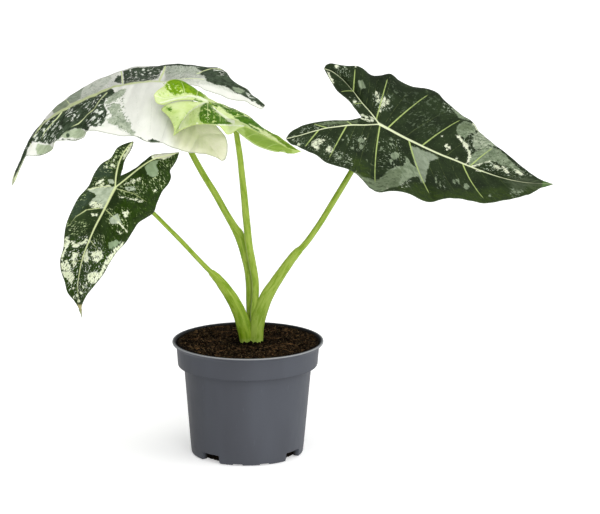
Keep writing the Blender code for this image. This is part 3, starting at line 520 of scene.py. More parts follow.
# ----------------------------------------------------------------- petioles
# readings across and down, Y, half-width across the view, half-depth, in mm
PETIOLES = {
    "petiole_large_leaf": [
        (251.6, 352, 2.1, 1.5, 1.15), (251.4, 340, 2.1, 1.6, 1.15), (250.9, 320, 2.0, 1.6, 1.15),
        (250.2, 300, 1.8, 1.6, 1.15), (249.9, 284, 1.6, 1.6, 1.2), (248.7, 270, 1.7, 1.7, 1.2),
        (245.4, 255, 1.9, 1.8, 1.2), (241.6, 241, 2.1, 1.95, 1.15), (238.2, 233, 2.3, 1.9, 1.1),
        (234.9, 228, 2.5, 1.55, 1.1), (231.9, 223, 2.8, 1.4, 1.1), (226.0, 213, 3.3, 1.28, 1.1),
        (216.0, 195, 4.2, 1.24, 1.1), (203.1, 174, 5.0, 1.18, 1.1), (191.1, 152, 6.0, 1.12, 1.05),
        (180.4, 129, 7.2, 1.02, 1.0), (171.4, 106, 8.6, 0.95, 0.95),
    ],
    "petiole_young_leaf": [
        (252.9, 352, -0.5, 1.2, 1.0), (252.9, 340, -0.5, 1.2, 1.0), (253.0, 325, -0.6, 1.2, 1.0),
        (253.6, 311, -0.8, 1.25, 1.1), (255.3, 296, -1.0, 1.4, 1.1), (255.2, 281, -1.2, 1.4, 1.1),
        (252.4, 264, -1.7, 1.45, 1.1), (249.0, 245, -2.3, 1.42, 1.1), (246.9, 224, -3.0, 1.38, 1.1),
        (245.9, 215, -3.4, 1.38, 1.1), (244.6, 200, -4.0, 1.32, 1.1), (242.1, 176, -5.0, 1.2, 1.05),
        (239.8, 155, -5.8, 1.14, 1.0), (237.6, 141, -6.3, 1.08, 1.0), (235.9, 131.5, -6.8, 1.0, 0.95),
        (231.6, 122.6, -7.2, 0.9, 0.85), (223.6, 114.0, -7.4, 0.85, 0.8), (214.6, 108.0, -7.6, 0.8, 0.75),
    ],
    "petiole_right_leaf": [
        (255.8, 352, -1.5, 2.5, 1.7), (256.0, 340, -1.5, 2.72, 1.7), (256.9, 326, -1.5, 2.75, 1.7),
        (260.9, 311, -1.4, 2.6, 1.6), (266.7, 296, -1.1, 2.5, 1.5), (275.7, 281.5, -1.0, 2.12, 1.4),
        (284.9, 268, -0.9, 1.9, 1.3), (293.4, 256.5, -0.7, 1.72, 1.2), (297.8, 251.4, -0.6, 1.56, 1.15),
        (301.0, 248.4, -0.5, 1.18, 1.08), (316.6, 228.2, -0.2, 1.13, 1.05), (333.2, 201.6, 0.4, 1.13, 1.05),
        (350.6, 172.8, 1.4, 1.08, 1.0), (364.6, 148.5, 2.8, 0.98, 0.95),
    ],
    "petiole_hanging_leaf": [
        (246.4, 352, -1.6, 2.5, 1.7), (246.3, 340, -1.6, 2.65, 1.7), (243.7, 326, -1.7, 2.85, 1.7),
        (238.9, 312, -1.7, 2.6, 1.5), (233.5, 301, -2.1, 2.4, 1.4), (224.9, 288, -2.9, 2.12, 1.3),
        (216.8, 277.8, -3.6, 1.72, 1.2), (212.6, 273.6, -3.9, 1.42, 1.08), (209.4, 270.6, -4.1, 0.95, 0.95),
        (196.6, 257.4, -5.0, 0.88, 0.9), (181.0, 240.8, -6.1, 0.86, 0.88), (166.9, 226.6, -7.0, 0.8, 0.8),
        (153.2, 213, -7.7, 0.76, 0.76), (139, 201.4, -8.2, 0.76, 0.76), (127.5, 192.6, -8.6, 0.76, 0.76),
    ],
}


# ------------------------------------------------------------- fine blades
def ladder(knots, length, pitch):
    """Places from the first knot to the last that stop at each, about pitch apart."""
    found = [knots[0]]
    for a, b in zip(knots[:-1], knots[1:]):
        if b - a > 1e-6:
            n = max(1, round((b - a) * length / pitch))
            found += list(a + (b - a) * np.arange(1, n + 1) / n)
    return np.array(found)


def length_of(line):
    p = line.at(np.linspace(0, 1, 240))
    return float(np.linalg.norm(np.diff(p, axis=0), axis=1).sum())


def between(places):
    """The places half-way between neighbours."""
    return [(a + b) / 2 for a, b in zip(places[:-1], places[1:])]


def run_of(points):
    """Length along a row of points, from the first."""
    return np.concatenate(
        [[0], np.cumsum(np.linalg.norm(np.diff(points, axis=0), axis=1))]
    )


def smooth(x):
    x = np.clip(x, 0, 1)
    return x * x * (3 - 2 * x)


def fine_strip(spine, margin, arch, sag, across):
    """A grid of points between spine and margin, bowed: each line across rises by arch above the straight line and
    leans back by sag."""
    along = np.gradient(spine + margin, axis=0)
    out = margin - spine
    up = np.cross(along, out)
    size = np.linalg.norm(up, axis=1)
    up /= np.where(size > 1e-9, size, 1)[:, None]
    along /= np.maximum(np.linalg.norm(along, axis=1), 1e-9)[:, None]
    width = np.linalg.norm(out, axis=1)
    w = np.linspace(0, 1, across + 1)[None, :, None]
    hump = 4 * w * (1 - w)
    return (
        spine[:, None] * (1 - w)
        + margin[:, None] * w
        + up[:, None] * (arch * width)[:, None, None] * hump
        - along[:, None] * (sag * width)[:, None, None] * hump
    )


def strip_facts(grid, along_mm, major, minor, vein_half):
    """For each point of a grid: place along the spine and across, share of the
    width, and how far it lies outside the nearest main and the nearest fine vein."""
    down = np.gradient(grid, axis=0)
    over = np.gradient(grid, axis=1)
    sine = np.linalg.norm(np.cross(down, over), axis=2) / np.maximum(
        np.linalg.norm(down, axis=2) * np.linalg.norm(over, axis=2), 1e-9
    )
    sine = np.where(sine > 0.05, sine, 1.0)
    step = np.linalg.norm(np.diff(grid, axis=0), axis=2)
    reach = np.concatenate([np.zeros((1, grid.shape[1])), np.cumsum(step, axis=0)])
    step = np.linalg.norm(np.diff(grid, axis=1), axis=2)
    cross = np.concatenate([np.zeros((grid.shape[0], 1)), np.cumsum(step, axis=1)], 1)
    share = np.linspace(0, 1, grid.shape[1])[None, :].repeat(grid.shape[0], 0)
    found = []
    for rows, half in ((major, vein_half), (minor, vein_half * 0.45)):
        gap = np.full(grid.shape[:2], 9.0)
        for row in rows:
            width = half * (1 - 0.6 * share) - 0.5 * smooth((share - 0.80) / 0.16)
            gap = np.minimum(gap, np.abs(reach - reach[row]) * sine - width)
        found.append(gap)
    along = np.repeat(along_mm[:, None], grid.shape[1], 1)
    return dict(
        along=along, cross=cross, share=share, rim=cross[:, -1:] - cross,
        vein=found[0], twig=found[1],
    )


class Sheet:
    """The middle sheet of a blade: welded points, faces, and facts at each point."""

    def __init__(self, blade, pitch, across, inner_across, vein_half=0.36, rib_half=0.62):
        self.parts = []
        rib_knots = {0.0, 1.0}
        side_veins = []
        for side in blade.sides:
            plain = side.get("plain", {})
            roots = [blade.midrib.near(root) for root, _ in side["veins_blade"]]
            main = [v for i, v in enumerate(roots) if i not in plain.get("blade", [])]
            roots = sorted(roots)
            fine = between([0.0] + roots) + between(roots + [1.0])[-1:]
            fine += [v for v in roots if v not in main]
            side_veins.append((main, fine))
            rib_knots |= set(roots) | set(fine)
        along_rib = ladder(sorted(rib_knots), length_of(blade.midrib), pitch)
        rib = blade.midrib.at(along_rib)
        rib_mm = run_of(rib)
        for number, (side, lines) in enumerate(zip(blade.sides, blade.lines)):
            costa, outer, inner = lines
            roots, fine = side_veins[number]
            plain = side.get("plain", {})
            arm_roots = [costa.near(root) for root, _ in side["veins_lobe"]]
            arm_main = [v for i, v in enumerate(arm_roots) if i not in plain.get("lobe", [])]
            if not plain.get("abeam"):
                arm_main.append(0.0)
            arm_roots = sorted(arm_roots)
            arm_fine = between([0.0] + arm_roots + [1.0]) + [v for v in arm_roots if v not in arm_main]
            in_roots = sorted(costa.near(root) for root, _ in side["veins_inner"])
            knots = sorted({0.0, 1.0} | set(arm_roots) | set(arm_fine) | set(in_roots))
            along_arm = ladder(knots, length_of(costa), pitch)
            arm = costa.at(along_arm)
            arm_mm = run_of(arm)
            sign = 1 if number == 0 else -1

            spine = np.concatenate([arm[::-1], rib[1:]])
            place = np.concatenate([-along_arm[::-1], along_rib[1:]])
            along_mm = np.concatenate([-arm_mm[::-1], rib_mm[1:]])
            pairs = [(-1.0, 0.0)]
            for root, end in side["veins_lobe"]:
                pairs.append((-costa.near(root), outer.near(end)))
            pairs.append((0.0, outer.near(side["abeam"])))
            for root, end in side["veins_blade"]:
                pairs.append((blade.midrib.near(root), outer.near(end)))
            pairs.append((1.0, 1.0))
            edge = outer.at(monotone(*zip(*pairs))(place))
            fade = np.minimum(1, 4 * np.minimum(place + 1, 1 - place))
            grid = fine_strip(spine, edge, side["arch"] * fade, side["sag"] * fade, across)
            at = lambda v: int(np.argmin(np.abs(place - v)))
            major = [at(-v) for v in arm_main] + [at(v) for v in roots]
            minor = [at(-v) for v in arm_fine] + [at(v) for v in fine]
            facts = strip_facts(grid, along_mm, major, minor, vein_half)
            half = rib_half * np.where(
                place < 0, 0.85 + 0.5 * place, 1.15 - 0.85 * np.abs(place)
            )
            facts["rib"] = facts["cross"] - half[:, None]
            self.add(grid, facts, number, sign, number == 0)

            pairs = [(0.0, 0.0)]
            for root, end in side["veins_inner"]:
                pairs.append((costa.near(root), inner.near(end)))
            pairs.append((1.0, 1.0))
            edge = inner.at(monotone(*zip(*pairs))(along_arm))
            fade = np.minimum(1, 4 * np.minimum(along_arm, 1 - along_arm))
            grid = fine_strip(arm, edge, side["arch"] * fade, 0 * fade, inner_across)
            at = lambda v: int(np.argmin(np.abs(along_arm - v)))
            facts = strip_facts(grid, -arm_mm, [at(v) for v in in_roots], [], vein_half * 0.8)
            half = rib_half * (0.85 - 0.5 * along_arm)
            facts["rib"] = facts["cross"] - half[:, None]
            self.add(grid, facts, number, -sign, number == 0)
        self.weld()

    def add(self, grid, facts, number, sign, left):
        facts["side"] = np.full(grid.shape[:2], float(number))
        facts["signed"] = facts["cross"] * sign
        self.parts.append((grid, facts, left))

    def weld(self):
        points = np.concatenate([g.reshape(-1, 3) for g, _, _ in self.parts])
        key = np.round(points, 5) + 0.0
        _, first, index = np.unique(key, axis=0, return_index=True, return_inverse=True)
        index = index.reshape(-1)
        self.points = points[first]
        self.facts = {
            name: np.concatenate([f[name].reshape(-1) for _, f, _ in self.parts])[first]
            for name in self.parts[0][1]
        }
        quads, tris, start = [], [], 0
        for grid, _, left in self.parts:
            ids = index[start : start + grid.shape[0] * grid.shape[1]].reshape(grid.shape[:2])
            start += ids.size
            quad = np.stack([ids[:-1, :-1], ids[1:, :-1], ids[1:, 1:], ids[:-1, 1:]], -1)
            quad = quad.reshape(-1, 4)
            if not left:
                quad = quad[:, ::-1]
            twin = quad == np.roll(quad, 1, axis=1)
            whole = ~twin.any(1)
            quads.append(quad[whole])
            for q, t in zip(quad[~whole], twin[~whole]):
                if (~t).sum() == 3:
                    tris.append(q[~t])
        self.quads = np.concatenate(quads)
        self.tris = np.array(tris, int).reshape(-1, 3)


def soften(sheet, side, rounds, begin=2.0):
    """Rounds one lobe across its costa, so that it has no fold there."""
    f = sheet.facts
    ends = np.concatenate([sheet.quads[:, [k, (k + 1) % 4]] for k in range(4)]
                          + [sheet.tris[:, [k, (k + 1) % 3]] for k in range(3)])
    ends = np.unique(np.sort(ends, axis=1), axis=0)
    count = np.bincount(ends.ravel(), minlength=len(sheet.points))[:, None]
    weight = (f["side"] == side) * smooth((-f["along"] - begin) / 8.0) * (f["rim"] > 1e-6)
    weight = 0.9 * weight[:, None]
    for _ in range(rounds):
        total = np.zeros_like(sheet.points)
        np.add.at(total, ends[:, 0], sheet.points[ends[:, 1]])
        np.add.at(total, ends[:, 1], sheet.points[ends[:, 0]])
        sheet.points = sheet.points * (1 - weight) + weight * total / count
    f["rib"] = f["rib"] + 2.5 * (f["side"] == side) * smooth((-f["along"] - 1.0) / 6.0)


def sheet_normals(points, quads, tris):
    faces = np.concatenate([quads[:, [0, 1, 2]], quads[:, [0, 2, 3]], tris])
    corners = points[faces]
    area = np.cross(corners[:, 1] - corners[:, 0], corners[:, 2] - corners[:, 0])
    found = np.zeros_like(points)
    for k in range(3):
        np.add.at(found, faces[:, k], area)
    return found / np.maximum(np.linalg.norm(found, axis=1), 1e-12)[:, None]


def boundary(quads, tris, count):
    """Directed edges that have a face on one side only."""
    ends = np.concatenate(
        [quads[:, [k, (k + 1) % 4]] for k in range(4)]
        + [tris[:, [k, (k + 1) % 3]] for k in range(3)]
    )
    here = ends[:, 0] * count + ends[:, 1]
    there = ends[:, 1] * count + ends[:, 0]
    return ends[~np.isin(here, there)]


def blade_shell(sheet, thickness, rim_thickness, quilt, ripple, seed):
    """Upper and lower face of a blade, puffed up between its veins and thin at the rim."""
    f = sheet.facts
    points = sheet.points
    up = sheet_normals(points, sheet.quads, sheet.tris)
    gap = np.minimum(np.maximum(np.minimum(f["vein"], f["twig"] + 0.35), 0), np.maximum(f["rib"], 0))
    puff = 1 - np.exp(-((gap / 1.5) ** 2))
    lift = quilt * puff * np.minimum(1, f["rim"] / 2.5)
    wave = ripple * f["share"] ** 2 * (
        np.sin(0.55 * f["along"] + 2.1 * f["side"] + seed)
        + 0.6 * np.sin(1.17 * f["along"] + 1.3 * seed)
    )
    crumple = np.array(
        [noise.noise(Vector((x * 0.22 + seed, y * 0.22, z * 0.22))) for x, y, z in points]
    )
    lift = lift + wave + 0.35 * quilt * crumple
    middle = points + up * lift[:, None]
    up = sheet_normals(middle, sheet.quads, sheet.tris)
    thick = rim_thickness + (thickness - rim_thickness) * smooth(f["rim"] / 2.2)
    groove = 0.10 * np.exp(-((np.maximum(f["vein"], 0) / 0.35) ** 2)) * (f["vein"] < 2)
    groove = np.maximum(groove, 0.16 * np.exp(-((np.maximum(f["rib"], 0) / 0.45) ** 2)))
    groove *= np.minimum(1, f["rim"] / 1.2)
    ridge = 0.22 * np.exp(-((np.maximum(f["vein"], 0) / 0.30) ** 2))
    ridge = np.maximum(ridge, 0.55 * np.exp(-((np.maximum(f["rib"], 0) / 0.35) ** 2)))
    ridge *= np.minimum(1, f["rim"] / 1.5)
    upper = middle + up * (thick / 2 - groove)[:, None]
    lower = middle - up * (thick / 2 + ridge)[:, None]
    return middle, up, upper, lower


# ---------------------------------------------------------------- the finish
def readings(points):
    """The sight readings of places in mm: sight() turned round."""
    eye, across, up, ahead = standing_point()
    rel = points - eye
    reach = rel @ ahead
    k = DISTANCE / SCALE
    return np.stack(
        [TABLE[0] + k * (rel @ across) / reach, TABLE[1] - k * (rel @ up) / reach], 1
    )


FAR = -7.0


def within(outline, p):
    """How far each reading lies inside a closed outline, negative outside."""
    a = np.array(outline, float)
    best = np.full(len(p), 1e9)
    inside = np.zeros(len(p), bool)
    for (ax, ay), (bx, by) in zip(a, np.roll(a, -1, axis=0)):
        ex, ey = bx - ax, by - ay
        t = np.clip(
            ((p[:, 0] - ax) * ex + (p[:, 1] - ay) * ey) / max(ex * ex + ey * ey, 1e-12), 0, 1
        )
        best = np.minimum(best, np.hypot(p[:, 0] - ax - t * ex, p[:, 1] - ay - t * ey))
        crosses = (ay > p[:, 1]) != (by > p[:, 1])
        if abs(ey) > 1e-12:
            inside ^= crosses & (p[:, 0] < ax + (p[:, 1] - ay) * ex / ey)
    return np.where(inside, best, -best)


def beside(outline, half, p):
    """How far each reading lies inside a stroke along an open line."""
    a = np.array(outline, float)
    half = np.broadcast_to(np.asarray(half, float), (len(a),))
    best = np.full(len(p), -1e9)
    for i in range(len(a) - 1):
        (ax, ay), (bx, by) = a[i], a[i + 1]
        ex, ey = bx - ax, by - ay
        t = np.clip(
            ((p[:, 0] - ax) * ex + (p[:, 1] - ay) * ey) / max(ex * ex + ey * ey, 1e-12), 0, 1
        )
        gap = np.hypot(p[:, 0] - ax - t * ex, p[:, 1] - ay - t * ey)
        best = np.maximum(best, half[i] * (1 - t) + half[i + 1] * t - gap)
    return best


def area(*outline, on=None):
    return lambda p: within(outline, p), on, outline


def line(*outline, half=0.8, on=None):
    return lambda p: beside(outline, half, p), on, outline


def dots(*places, on=None):
    def value(p):
        best = np.full(len(p), -1e9)
        for x, y, r in places:
            best = np.maximum(best, r - np.hypot(p[:, 0] - x, p[:, 1] - y))
        return best

    return value, on, [(x, y) for x, y, _ in places]


def everywhere(value=6.0, on=None):
    return lambda p: np.full(len(p), value), on, None


def field(shapes, p, side):
    """The deepest reach of any of the shapes at each reading, in reading units."""
    best = np.full(len(p), FAR)
    for value, on, outline in shapes:
        use = np.ones(len(p), bool) if on is None else side == on
        if outline is not None:
            low, high = np.min(outline, 0) - 8, np.max(outline, 0) + 8
            use &= (p >= low).all(1) & (p <= high).all(1)
        if use.any():
            best[use] = np.maximum(best[use], value(p[use]))
    return np.clip(best, FAR, 12.0)


def srgb(r, g, b):
    """A colour as read off a display, turned into reflectance."""
    return tuple(
        (c / 255 / 12.92 if c / 255 <= 0.04045 else ((c / 255 + 0.055) / 1.055) ** 2.4)
        for c in (r, g, b)
    )


class Shade:
    """A material's node tree, with short names for the nodes it uses."""

    def __init__(self, name):
        self.made = bpy.data.materials.new(name)
        self.made.use_nodes = True
        self.tree = self.made.node_tree
        self.shader = self.tree.nodes["Principled BSDF"]

    def put(self, socket, value):
        if isinstance(value, bpy.types.NodeSocket):
            self.tree.links.new(value, socket)
        elif isinstance(value, (tuple, list)) and len(value) == 3 and socket.type == "RGBA":
            socket.default_value = (*value, 1)
        else:
            socket.default_value = value

    def set(self, **values):
        for name, value in values.items():
            self.put(self.shader.inputs[name.replace("_", " ")], value)

    def attribute(self, name, vector=False):
        node = self.tree.nodes.new("ShaderNodeAttribute")
        node.attribute_type = "GEOMETRY"
        node.attribute_name = name
        return node.outputs["Vector" if vector else "Fac"]

    def place(self):
        return self.tree.nodes.new("ShaderNodeTexCoord").outputs["Object"]

    def stretch(self, vector, by, shift=(0, 0, 0)):
        node = self.tree.nodes.new("ShaderNodeMapping")
        self.put(node.inputs["Vector"], vector)
        node.inputs["Scale"].default_value = by
        node.inputs["Location"].default_value = shift
        return node.outputs["Vector"]

    def noise(self, vector, scale=1.0, detail=2.0, rough=0.5, warp=0.0, colour=False):
        node = self.tree.nodes.new("ShaderNodeTexNoise")
        self.put(node.inputs["Vector"], vector)
        node.inputs["Scale"].default_value = scale
        node.inputs["Detail"].default_value = detail
        node.inputs["Roughness"].default_value = rough
        node.inputs["Distortion"].default_value = warp
        return node.outputs["Color" if colour else "Fac"]

    def cells(self, vector, scale=1.0, feature="F1"):
        node = self.tree.nodes.new("ShaderNodeTexVoronoi")
        node.feature = feature
        self.put(node.inputs["Vector"], vector)
        node.inputs["Scale"].default_value = scale
        return node.outputs["Distance"]

    def math(self, kind, a, b=0.0, c=0.0, clamp=False):
        node = self.tree.nodes.new("ShaderNodeMath")
        node.operation = kind
        node.use_clamp = clamp
        for socket, value in zip(node.inputs, (a, b, c)):
            self.put(socket, value)
        return node.outputs[0]

    def step(self, value, low, high, start=0.0, end=1.0):
        node = self.tree.nodes.new("ShaderNodeMapRange")
        node.interpolation_type = "SMOOTHSTEP"
        for name, v in (
            ("Value", value), ("From Min", low), ("From Max", high), ("To Min", start), ("To Max", end),
        ):
            self.put(node.inputs[name], v)
        return node.outputs["Result"]

    def mix(self, share, a, b):
        node = self.tree.nodes.new("ShaderNodeMix")
        node.data_type = "RGBA"
        self.put(node.inputs["Factor"], share)
        self.put(node.inputs[6], a)
        self.put(node.inputs[7], b)
        return node.outputs[2]

    def bump(self, height, strength, depth, below=None):
        node = self.tree.nodes.new("ShaderNodeBump")
        node.inputs["Strength"].default_value = strength
        node.inputs["Distance"].default_value = depth
        self.put(node.inputs["Height"], height)
        if below is not None:
            self.put(node.inputs["Normal"], below)
        return node.outputs["Normal"]


# A layer of a blade's pattern.  "solid" fills its shapes; "fleck" scatters small
# flecks over them.  soft and wobble are in reading units, grain in 1/mm.
def layer(kind, first, second, shapes, soft=0.5, wobble=1.5, grain=(1.6, 1.1), cover=0.5,
          strength=1.0, mottle=(0.7, 0.5)):
    return dict(kind=kind, first=srgb(*first), second=srgb(*second), shapes=shapes, soft=soft,
                wobble=wobble, grain=grain, cover=cover, strength=strength, mottle=mottle)


def leaf_material(name, base, layers, veins, under, rough=0.52, sheen=0.25, sheen_tint=(0.8, 0.9, 0.8)):
    """base: two colours; veins: rib colour, vein colour, vein strength, twig strength,
    rim colour, rim strength; under: colour and share of the lower face."""
    s = Shade(name)
    grain = s.attribute("grain", vector=True)
    broad = s.noise(s.stretch(grain, (0.16, 0.12, 0.16)), 1.0, 3.0, 0.6)
    fine = s.noise(s.stretch(grain, (2.1, 1.0, 2.1)), 1.0, 3.0, 0.6)
    colour = s.mix(s.step(broad, 0.32, 0.68), srgb(*base[0]), srgb(*base[1]))
    colour = s.mix(s.step(fine, 0.45, 0.85, 0.0, 0.35), colour, srgb(*base[2]))
    for number, item in enumerate(layers):
        depth = s.attribute(f"layer_{number}")
        gx, gy = item["grain"]
        shift = (3.1 * number, 1.7 * number, 5.3 * number)
        edge = s.noise(s.stretch(grain, (gx, gy, 1), shift), 1.0, 3.0, 0.65)
        if item["kind"] == "solid":
            wide = s.noise(s.stretch(grain, (gx * 0.38, gy * 0.38, 1), shift[::-1]), 1.0, 2.0, 0.5)
            bent = s.math("MULTIPLY_ADD", s.math("MULTIPLY_ADD", wide, 0.7, edge),
                          2 * item["wobble"], -1.7 * item["wobble"])
            mask = s.step(s.math("ADD", depth, bent), -item["soft"], item["soft"])
        else:
            zone = s.step(depth, -item["soft"], item["soft"] * 2)
            limit = item["cover"]
            mask = s.math("MULTIPLY", s.step(edge, limit, limit + 0.035), zone)
        if item["strength"] < 1:
            mask = s.math("MULTIPLY", mask, item["strength"])
        mx, my = item["mottle"]
        mottle = s.noise(s.stretch(grain, (mx, my, 1), (shift[1], shift[2], shift[0])), 1.0, 4.0, 0.7)
        tone = s.mix(s.step(mottle, 0.36, 0.64), item["first"], item["second"])
        colour = s.mix(mask, colour, tone)
    rib_colour, vein_colour, vein_strength, twig_strength, rim_colour, rim_strength = veins
    waver = s.noise(s.stretch(grain, (0.5, 0.5, 0.5), (9, 9, 9)), 1.0, 2.0, 0.5)
    twig = s.step(s.attribute("twig"), 0.12, -0.10, 0.0, twig_strength)
    colour = s.mix(s.math("MULTIPLY", twig, s.step(waver, 0.35, 0.6)), colour, srgb(*vein_colour))
    vein = s.step(s.attribute("vein"), 0.16, -0.16, 0.0, vein_strength)
    colour = s.mix(s.math("MULTIPLY", vein, s.step(waver, 0.2, 0.55, 0.55, 1.0)), colour, srgb(*vein_colour))
    rib = s.step(s.attribute("rib"), 0.2, -0.25)
    colour = s.mix(rib, colour, srgb(*rib_colour))
    rim = s.step(s.attribute("rim"), 0.42, 0.16, 0.0, rim_strength)
    colour = s.mix(rim, colour, srgb(*rim_colour))
    lower = s.attribute("under")
    colour = s.mix(s.math("MULTIPLY", lower, under[1]), colour, srgb(*under[0]))
    pores = s.noise(s.stretch(grain, (3.2, 3.2, 3.2)), 1.0, 2.0, 0.6)
    dents = s.noise(s.stretch(grain, (0.9, 0.5, 0.9), (4, 4, 4)), 1.0, 3.0, 0.6)
    height = s.math("ADD", s.math("MULTIPLY", pores, 0.25), dents)
    s.set(Base_Color=colour, Roughness=s.step(fine, 0.2, 0.8, rough - 0.06, rough + 0.08),
          Normal=s.bump(height, 0.55, 0.00025))
    s.set(Sheen_Weight=sheen, Sheen_Roughness=0.45, Sheen_Tint=sheen_tint, Specular_IOR_Level=0.12)
    return s.made


# ------------------------------------------------------------- making meshes
def mesh_object(name, points_mm, quads=None, tris=None, fields=None, vectors=None, sharp=None):
    mesh = bpy.data.meshes.new(name)
    quads = np.zeros((0, 4), int) if quads is None else np.asarray(quads, int)
    tris = np.zeros((0, 3), int) if tris is None else np.asarray(tris, int)
    loops = np.concatenate([quads.reshape(-1), tris.reshape(-1)]).astype(np.int32)
    totals = np.concatenate([np.full(len(quads), 4), np.full(len(tris), 3)]).astype(np.int32)
    starts = np.concatenate([[0], np.cumsum(totals)[:-1]]).astype(np.int32)
    mesh.vertices.add(len(points_mm))
    mesh.vertices.foreach_set("co", (np.asarray(points_mm) * 0.001).astype(np.float32).ravel())
    mesh.loops.add(len(loops))
    mesh.loops.foreach_set("vertex_index", loops)
    mesh.polygons.add(len(totals))
    mesh.polygons.foreach_set("loop_start", starts)
    mesh.polygons.foreach_set("loop_total", totals)
    mesh.update(calc_edges=True)
    mesh.validate()
    for key, values in (fields or {}).items():
        made = mesh.attributes.new(key, "FLOAT", "POINT")
        made.data.foreach_set("value", np.asarray(values, np.float32).ravel())
    for key, values in (vectors or {}).items():
        made = mesh.attributes.new(key, "FLOAT_VECTOR", "POINT")
        made.data.foreach_set("vector", np.asarray(values, np.float32).ravel())
    mesh.shade_smooth()
    if sharp is not None:
        mesh.set_sharp_from_angle(angle=math.radians(sharp))
    made = bpy.data.objects.new(name, mesh)
    bpy.context.scene.collection.objects.link(made)
    return made


def finish_piece(obj, material, slot_name, *nodes):
    obj.data.materials.append(material)
    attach(obj, "root")
    if nodes:
        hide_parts(*nodes)
    return obj


def make_blade(name, blade, layers, material, slot_name, node, pitch, across, inner_across,
               thickness=0.5, rim_thickness=0.22, quilt=0.34, ripple=0.10, seed=1.0,
               vein_half=0.36, rib_half=0.62, soft_lobe=None, rib_until=None):
    sheet = Sheet(blade, pitch, across, inner_across, vein_half, rib_half)
    seen = readings(sheet.points)
    if soft_lobe:
        soften(sheet, *soft_lobe)
    middle, up, upper, lower = blade_shell(sheet, thickness, rim_thickness, quilt, ripple, seed)
    count = len(upper)
    edge = boundary(sheet.quads, sheet.tris, count)
    rim = np.stack([edge[:, 1], edge[:, 0], edge[:, 0] + count, edge[:, 1] + count], 1)
    quads = np.concatenate([sheet.quads, sheet.quads[:, ::-1] + count, rim])
    tris = np.concatenate([sheet.tris, sheet.tris[:, ::-1] + count])
    f = sheet.facts
    fields = {key: np.tile(f[key], 2) for key in ("vein", "twig", "rib", "rim")}
    fields["under"] = np.concatenate([np.zeros(count), np.ones(count)])
    if rib_until:
        fields["rib"] = np.maximum(fields["rib"], np.tile((seen[:, 0] - rib_until) * 0.3, 2))
    for number, item in enumerate(layers):
        fields[f"layer_{number}"] = np.tile(field(item["shapes"], seen, f["side"]), 2)
    grain = np.stack([f["along"], f["signed"], np.full(count, 7.3 * seed)], 1)
    obj = mesh_object(name, np.concatenate([upper, lower]), quads, tris, fields,
                      {"grain": np.tile(grain, (2, 1))})
    finish_piece(obj, material, slot_name, node)
    at = int(np.argmin(np.linalg.norm(sheet.points - blade.junction, axis=1)))
    return middle[at], up[at], len(quads) * 2 + len(tris)
